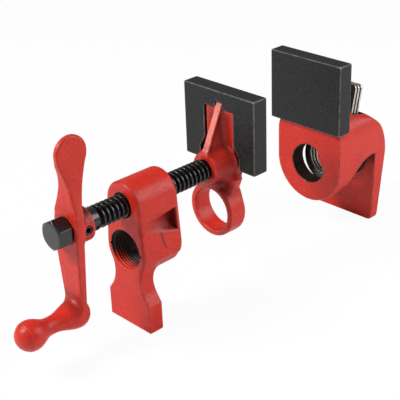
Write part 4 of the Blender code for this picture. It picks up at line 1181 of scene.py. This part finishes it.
def spindle_profile():
    """Stations and radii of the spindle's core: shank, root of the thread, journal and ring groove."""
    shoulder = SPINDLE_SHOULDER
    core = [(HEX_BACK - LAP, 0), (HEX_BACK - LAP, SHANK_RADIUS), (THREAD_START - 0.4, SHANK_RADIUS)]
    core += [(THREAD_START, SHANK_RADIUS - 0.15), (THREAD_START + 1.5, THREAD_ROOT + 0.1)]
    core += [(THREAD_START + 1.9, THREAD_ROOT), (shoulder - 0.3, THREAD_ROOT), (shoulder, THREAD_ROOT - 0.3)]
    core += [(shoulder, JOURNAL_RADIUS), (GROOVE_START, JOURNAL_RADIUS), (GROOVE_START, GROOVE_RADIUS)]
    core += [(GROOVE_END, GROOVE_RADIUS), (GROOVE_END, JOURNAL_RADIUS), (SPINDLE_TIP - 0.4, JOURNAL_RADIUS)]
    return core + [(SPINDLE_TIP, JOURNAL_RADIUS - 0.4), (SPINDLE_TIP, 0)]


def build_screw(thread, oxide):
    spindle = turned("spindle_core", spindle_profile(), SCREW_RISE)
    spindle.data.set_sharp_from_angle(angle=math.radians(50))
    finish_piece(spindle, "screw", oxide, "black_oxide_steel", "spindle")
    hexagon = cast("spindle_hex_end", hex_field, (-52, -11, 18), (-42, 11, 41), 0.4)
    finish_piece(hexagon, "screw", oxide, "black_oxide_steel")
    root = THREAD_ROOT - 0.1
    tooth = tooth_values(root, SCREW_RADIUS - root, foot=2.1, crest=1.224, corner=0.28)
    values = thread_values(THREAD_START - 0.4, THREAD_END, SCREW_PITCH, SCREW_RISE, oxide)
    finish_piece(grown("spindle_thread", thread, {**tooth, **values}), "screw", oxide, "black_oxide_steel")


def build_nut_threads(thread, iron):
    """Threads tapped in the head, with their crests turned in."""
    inward = (0, 0, math.pi / 2)
    values = tooth_values(SCREW_RADIUS + 0.6, height=1.7, foot=1.9, crest=0.9, corner=0.15)
    values |= thread_values(1 + SCREW_PITCH / 2, HEAD_LENGTH - 1, SCREW_PITCH, SCREW_RISE, iron)
    values |= {"Facing": inward, "Phase": (0, 0, 2 * math.pi * (1 / SCREW_PITCH % 1))}
    finish_piece(grown("head_screw_thread", thread, values), "head", iron, "black_oxide_steel")
    values = tooth_values(SOCKET_RADIUS + 0.2, height=1.1, foot=1.7, crest=0.25, corner=0.1)
    values |= thread_values(0.9, HEAD_LENGTH - 0.9, PIPE_PITCH, 0, iron)
    values["Facing"] = inward
    finish_piece(grown("head_pipe_thread", thread, values), "head", iron, "black_oxide_steel")


def build_clutch(zinc, steel, oxide):
    for node in ("clutch_plate_1", "clutch_plate_2", "clutch_plate_3"):
        plate = softened("stamped_" + node, node, 0.35)
        thinned(plate.data, PLATE_THIN)
        finish_piece(plate, "clutch", zinc, "zinc_plated_steel", node)
    pin = softened("rolled_crank_pin", "crank_pin", 0.15)
    finish_piece(pin, "screw", oxide, "spring_steel", "crank_pin")
    clip = softened("jaw_snap_ring", "jaw_retaining_ring", 0.2)
    finish_piece(clip, "screw", steel, "spring_steel", "jaw_retaining_ring")
    spring = grown("clutch_coil_spring", coil_spring_tree(), {
        "Radius": SPRING_RADIUS * MM, "Wire": SPRING_WIRE * MM, "Turns": SPRING_TURNS,
        "Front": SPRING_FRONT * MM, "Rear": SPRING_REAR * MM, "Lean": math.tan(PLATE_TILT),
        "Hinge Height": CHAMBER_TOP * MM, "Axis Place": tuple(FIELD_ORIGIN), "Finish": steel})
    spring.data.materials.clear()
    spring.data.materials.append(steel)
    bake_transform(spring)
    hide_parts("clutch_spring")


def seen_by_camera(tree):
    """1 for a ray that comes from the camera, also through something clear, and 0 for others."""
    rays = add(tree, "ShaderNodeLightPath").outputs
    return math_of(tree, "MAXIMUM", rays["Is Camera Ray"], rays["Is Transmission Ray"])


def build_floor():
    """Pale floor that the camera sees almost white, with faint shadows."""
    bpy.ops.mesh.primitive_plane_add(size=8, location=(0, 0, -0.0002))
    floor = bpy.context.object
    floor.name = "floor"
    material = bpy.data.materials.new("pale_floor")
    material.use_nodes = True
    tree = material.node_tree
    shader = tree.nodes["Principled BSDF"]
    shader.inputs["Base Color"].default_value = (0.9, 0.9, 0.9, 1)
    shader.inputs["Roughness"].default_value = 0.9
    white = add(tree, "ShaderNodeEmission", {"Strength": 1.0})
    mixed = add(tree, "ShaderNodeMixShader")
    tree.links.new(math_of(tree, "MULTIPLY", seen_by_camera(tree), FLOOR_WHITE), mixed.inputs[0])
    tree.links.new(shader.outputs[0], mixed.inputs[1])
    tree.links.new(white.outputs[0], mixed.inputs[2])
    tree.links.new(mixed.outputs[0], tree.nodes["Material Output"].inputs["Surface"])
    floor.data.materials.append(material)


def build_lights(scene):
    """White surroundings, a key light and a softer light from the side."""
    world = bpy.data.worlds.new("white_studio")
    scene.world = world
    world.use_nodes = True
    tree = world.node_tree
    background = tree.nodes["Background"]
    background.inputs["Color"].default_value = (1, 1, 1, 1)
    strength = ranged(tree, seen_by_camera(tree), low=SURROUND_LIGHT)
    tree.links.new(strength, background.inputs["Strength"])
    for name, place, size, power in LIGHTS:
        lamp = bpy.data.lights.new(name, "AREA")
        lamp.size = size
        lamp.energy = power
        light = new_object(name, lamp)
        light.location = place
        light.rotation_euler = (Vector(LIGHT_AIM) - light.location).to_track_quat("-Z", "Y").to_euler()


def build_camera(scene):
    """The camera that was fitted to the photograph."""
    yaw, pitch, roll = (math.radians(angle) for angle in CAMERA_TURN)
    forward = Vector((math.sin(yaw) * math.cos(pitch), math.cos(yaw) * math.cos(pitch), -math.sin(pitch)))
    level = Vector((math.cos(yaw), -math.sin(yaw), 0))
    above = level.cross(forward)
    right = math.cos(roll) * level + math.sin(roll) * above
    up = math.cos(roll) * above - math.sin(roll) * level
    data = bpy.data.cameras.new("camera")
    data.sensor_width = CAMERA_SENSOR
    data.lens = CAMERA_LENS
    camera = new_object("camera", data)
    turn = Matrix((right, up, -forward)).transposed().to_4x4()
    camera.matrix_world = Matrix.Translation(CAMERA_PLACE) @ turn
    scene.camera = camera


def main():
    red = enamel()
    oxide = oxide_steel()
    iron = bare_iron()
    steel = spring_steel()
    thread = helix_thread_tree()
    build_castings(red)
    build_pads(pad_plastic())
    build_screw(thread, oxide)
    build_nut_threads(thread, iron)
    build_clutch(zinc_plate(), steel, oxide)
    scene = bpy.context.scene
    scene.view_settings.view_transform = "Standard"
    build_floor()
    build_lights(scene)
    build_camera(scene)


main()
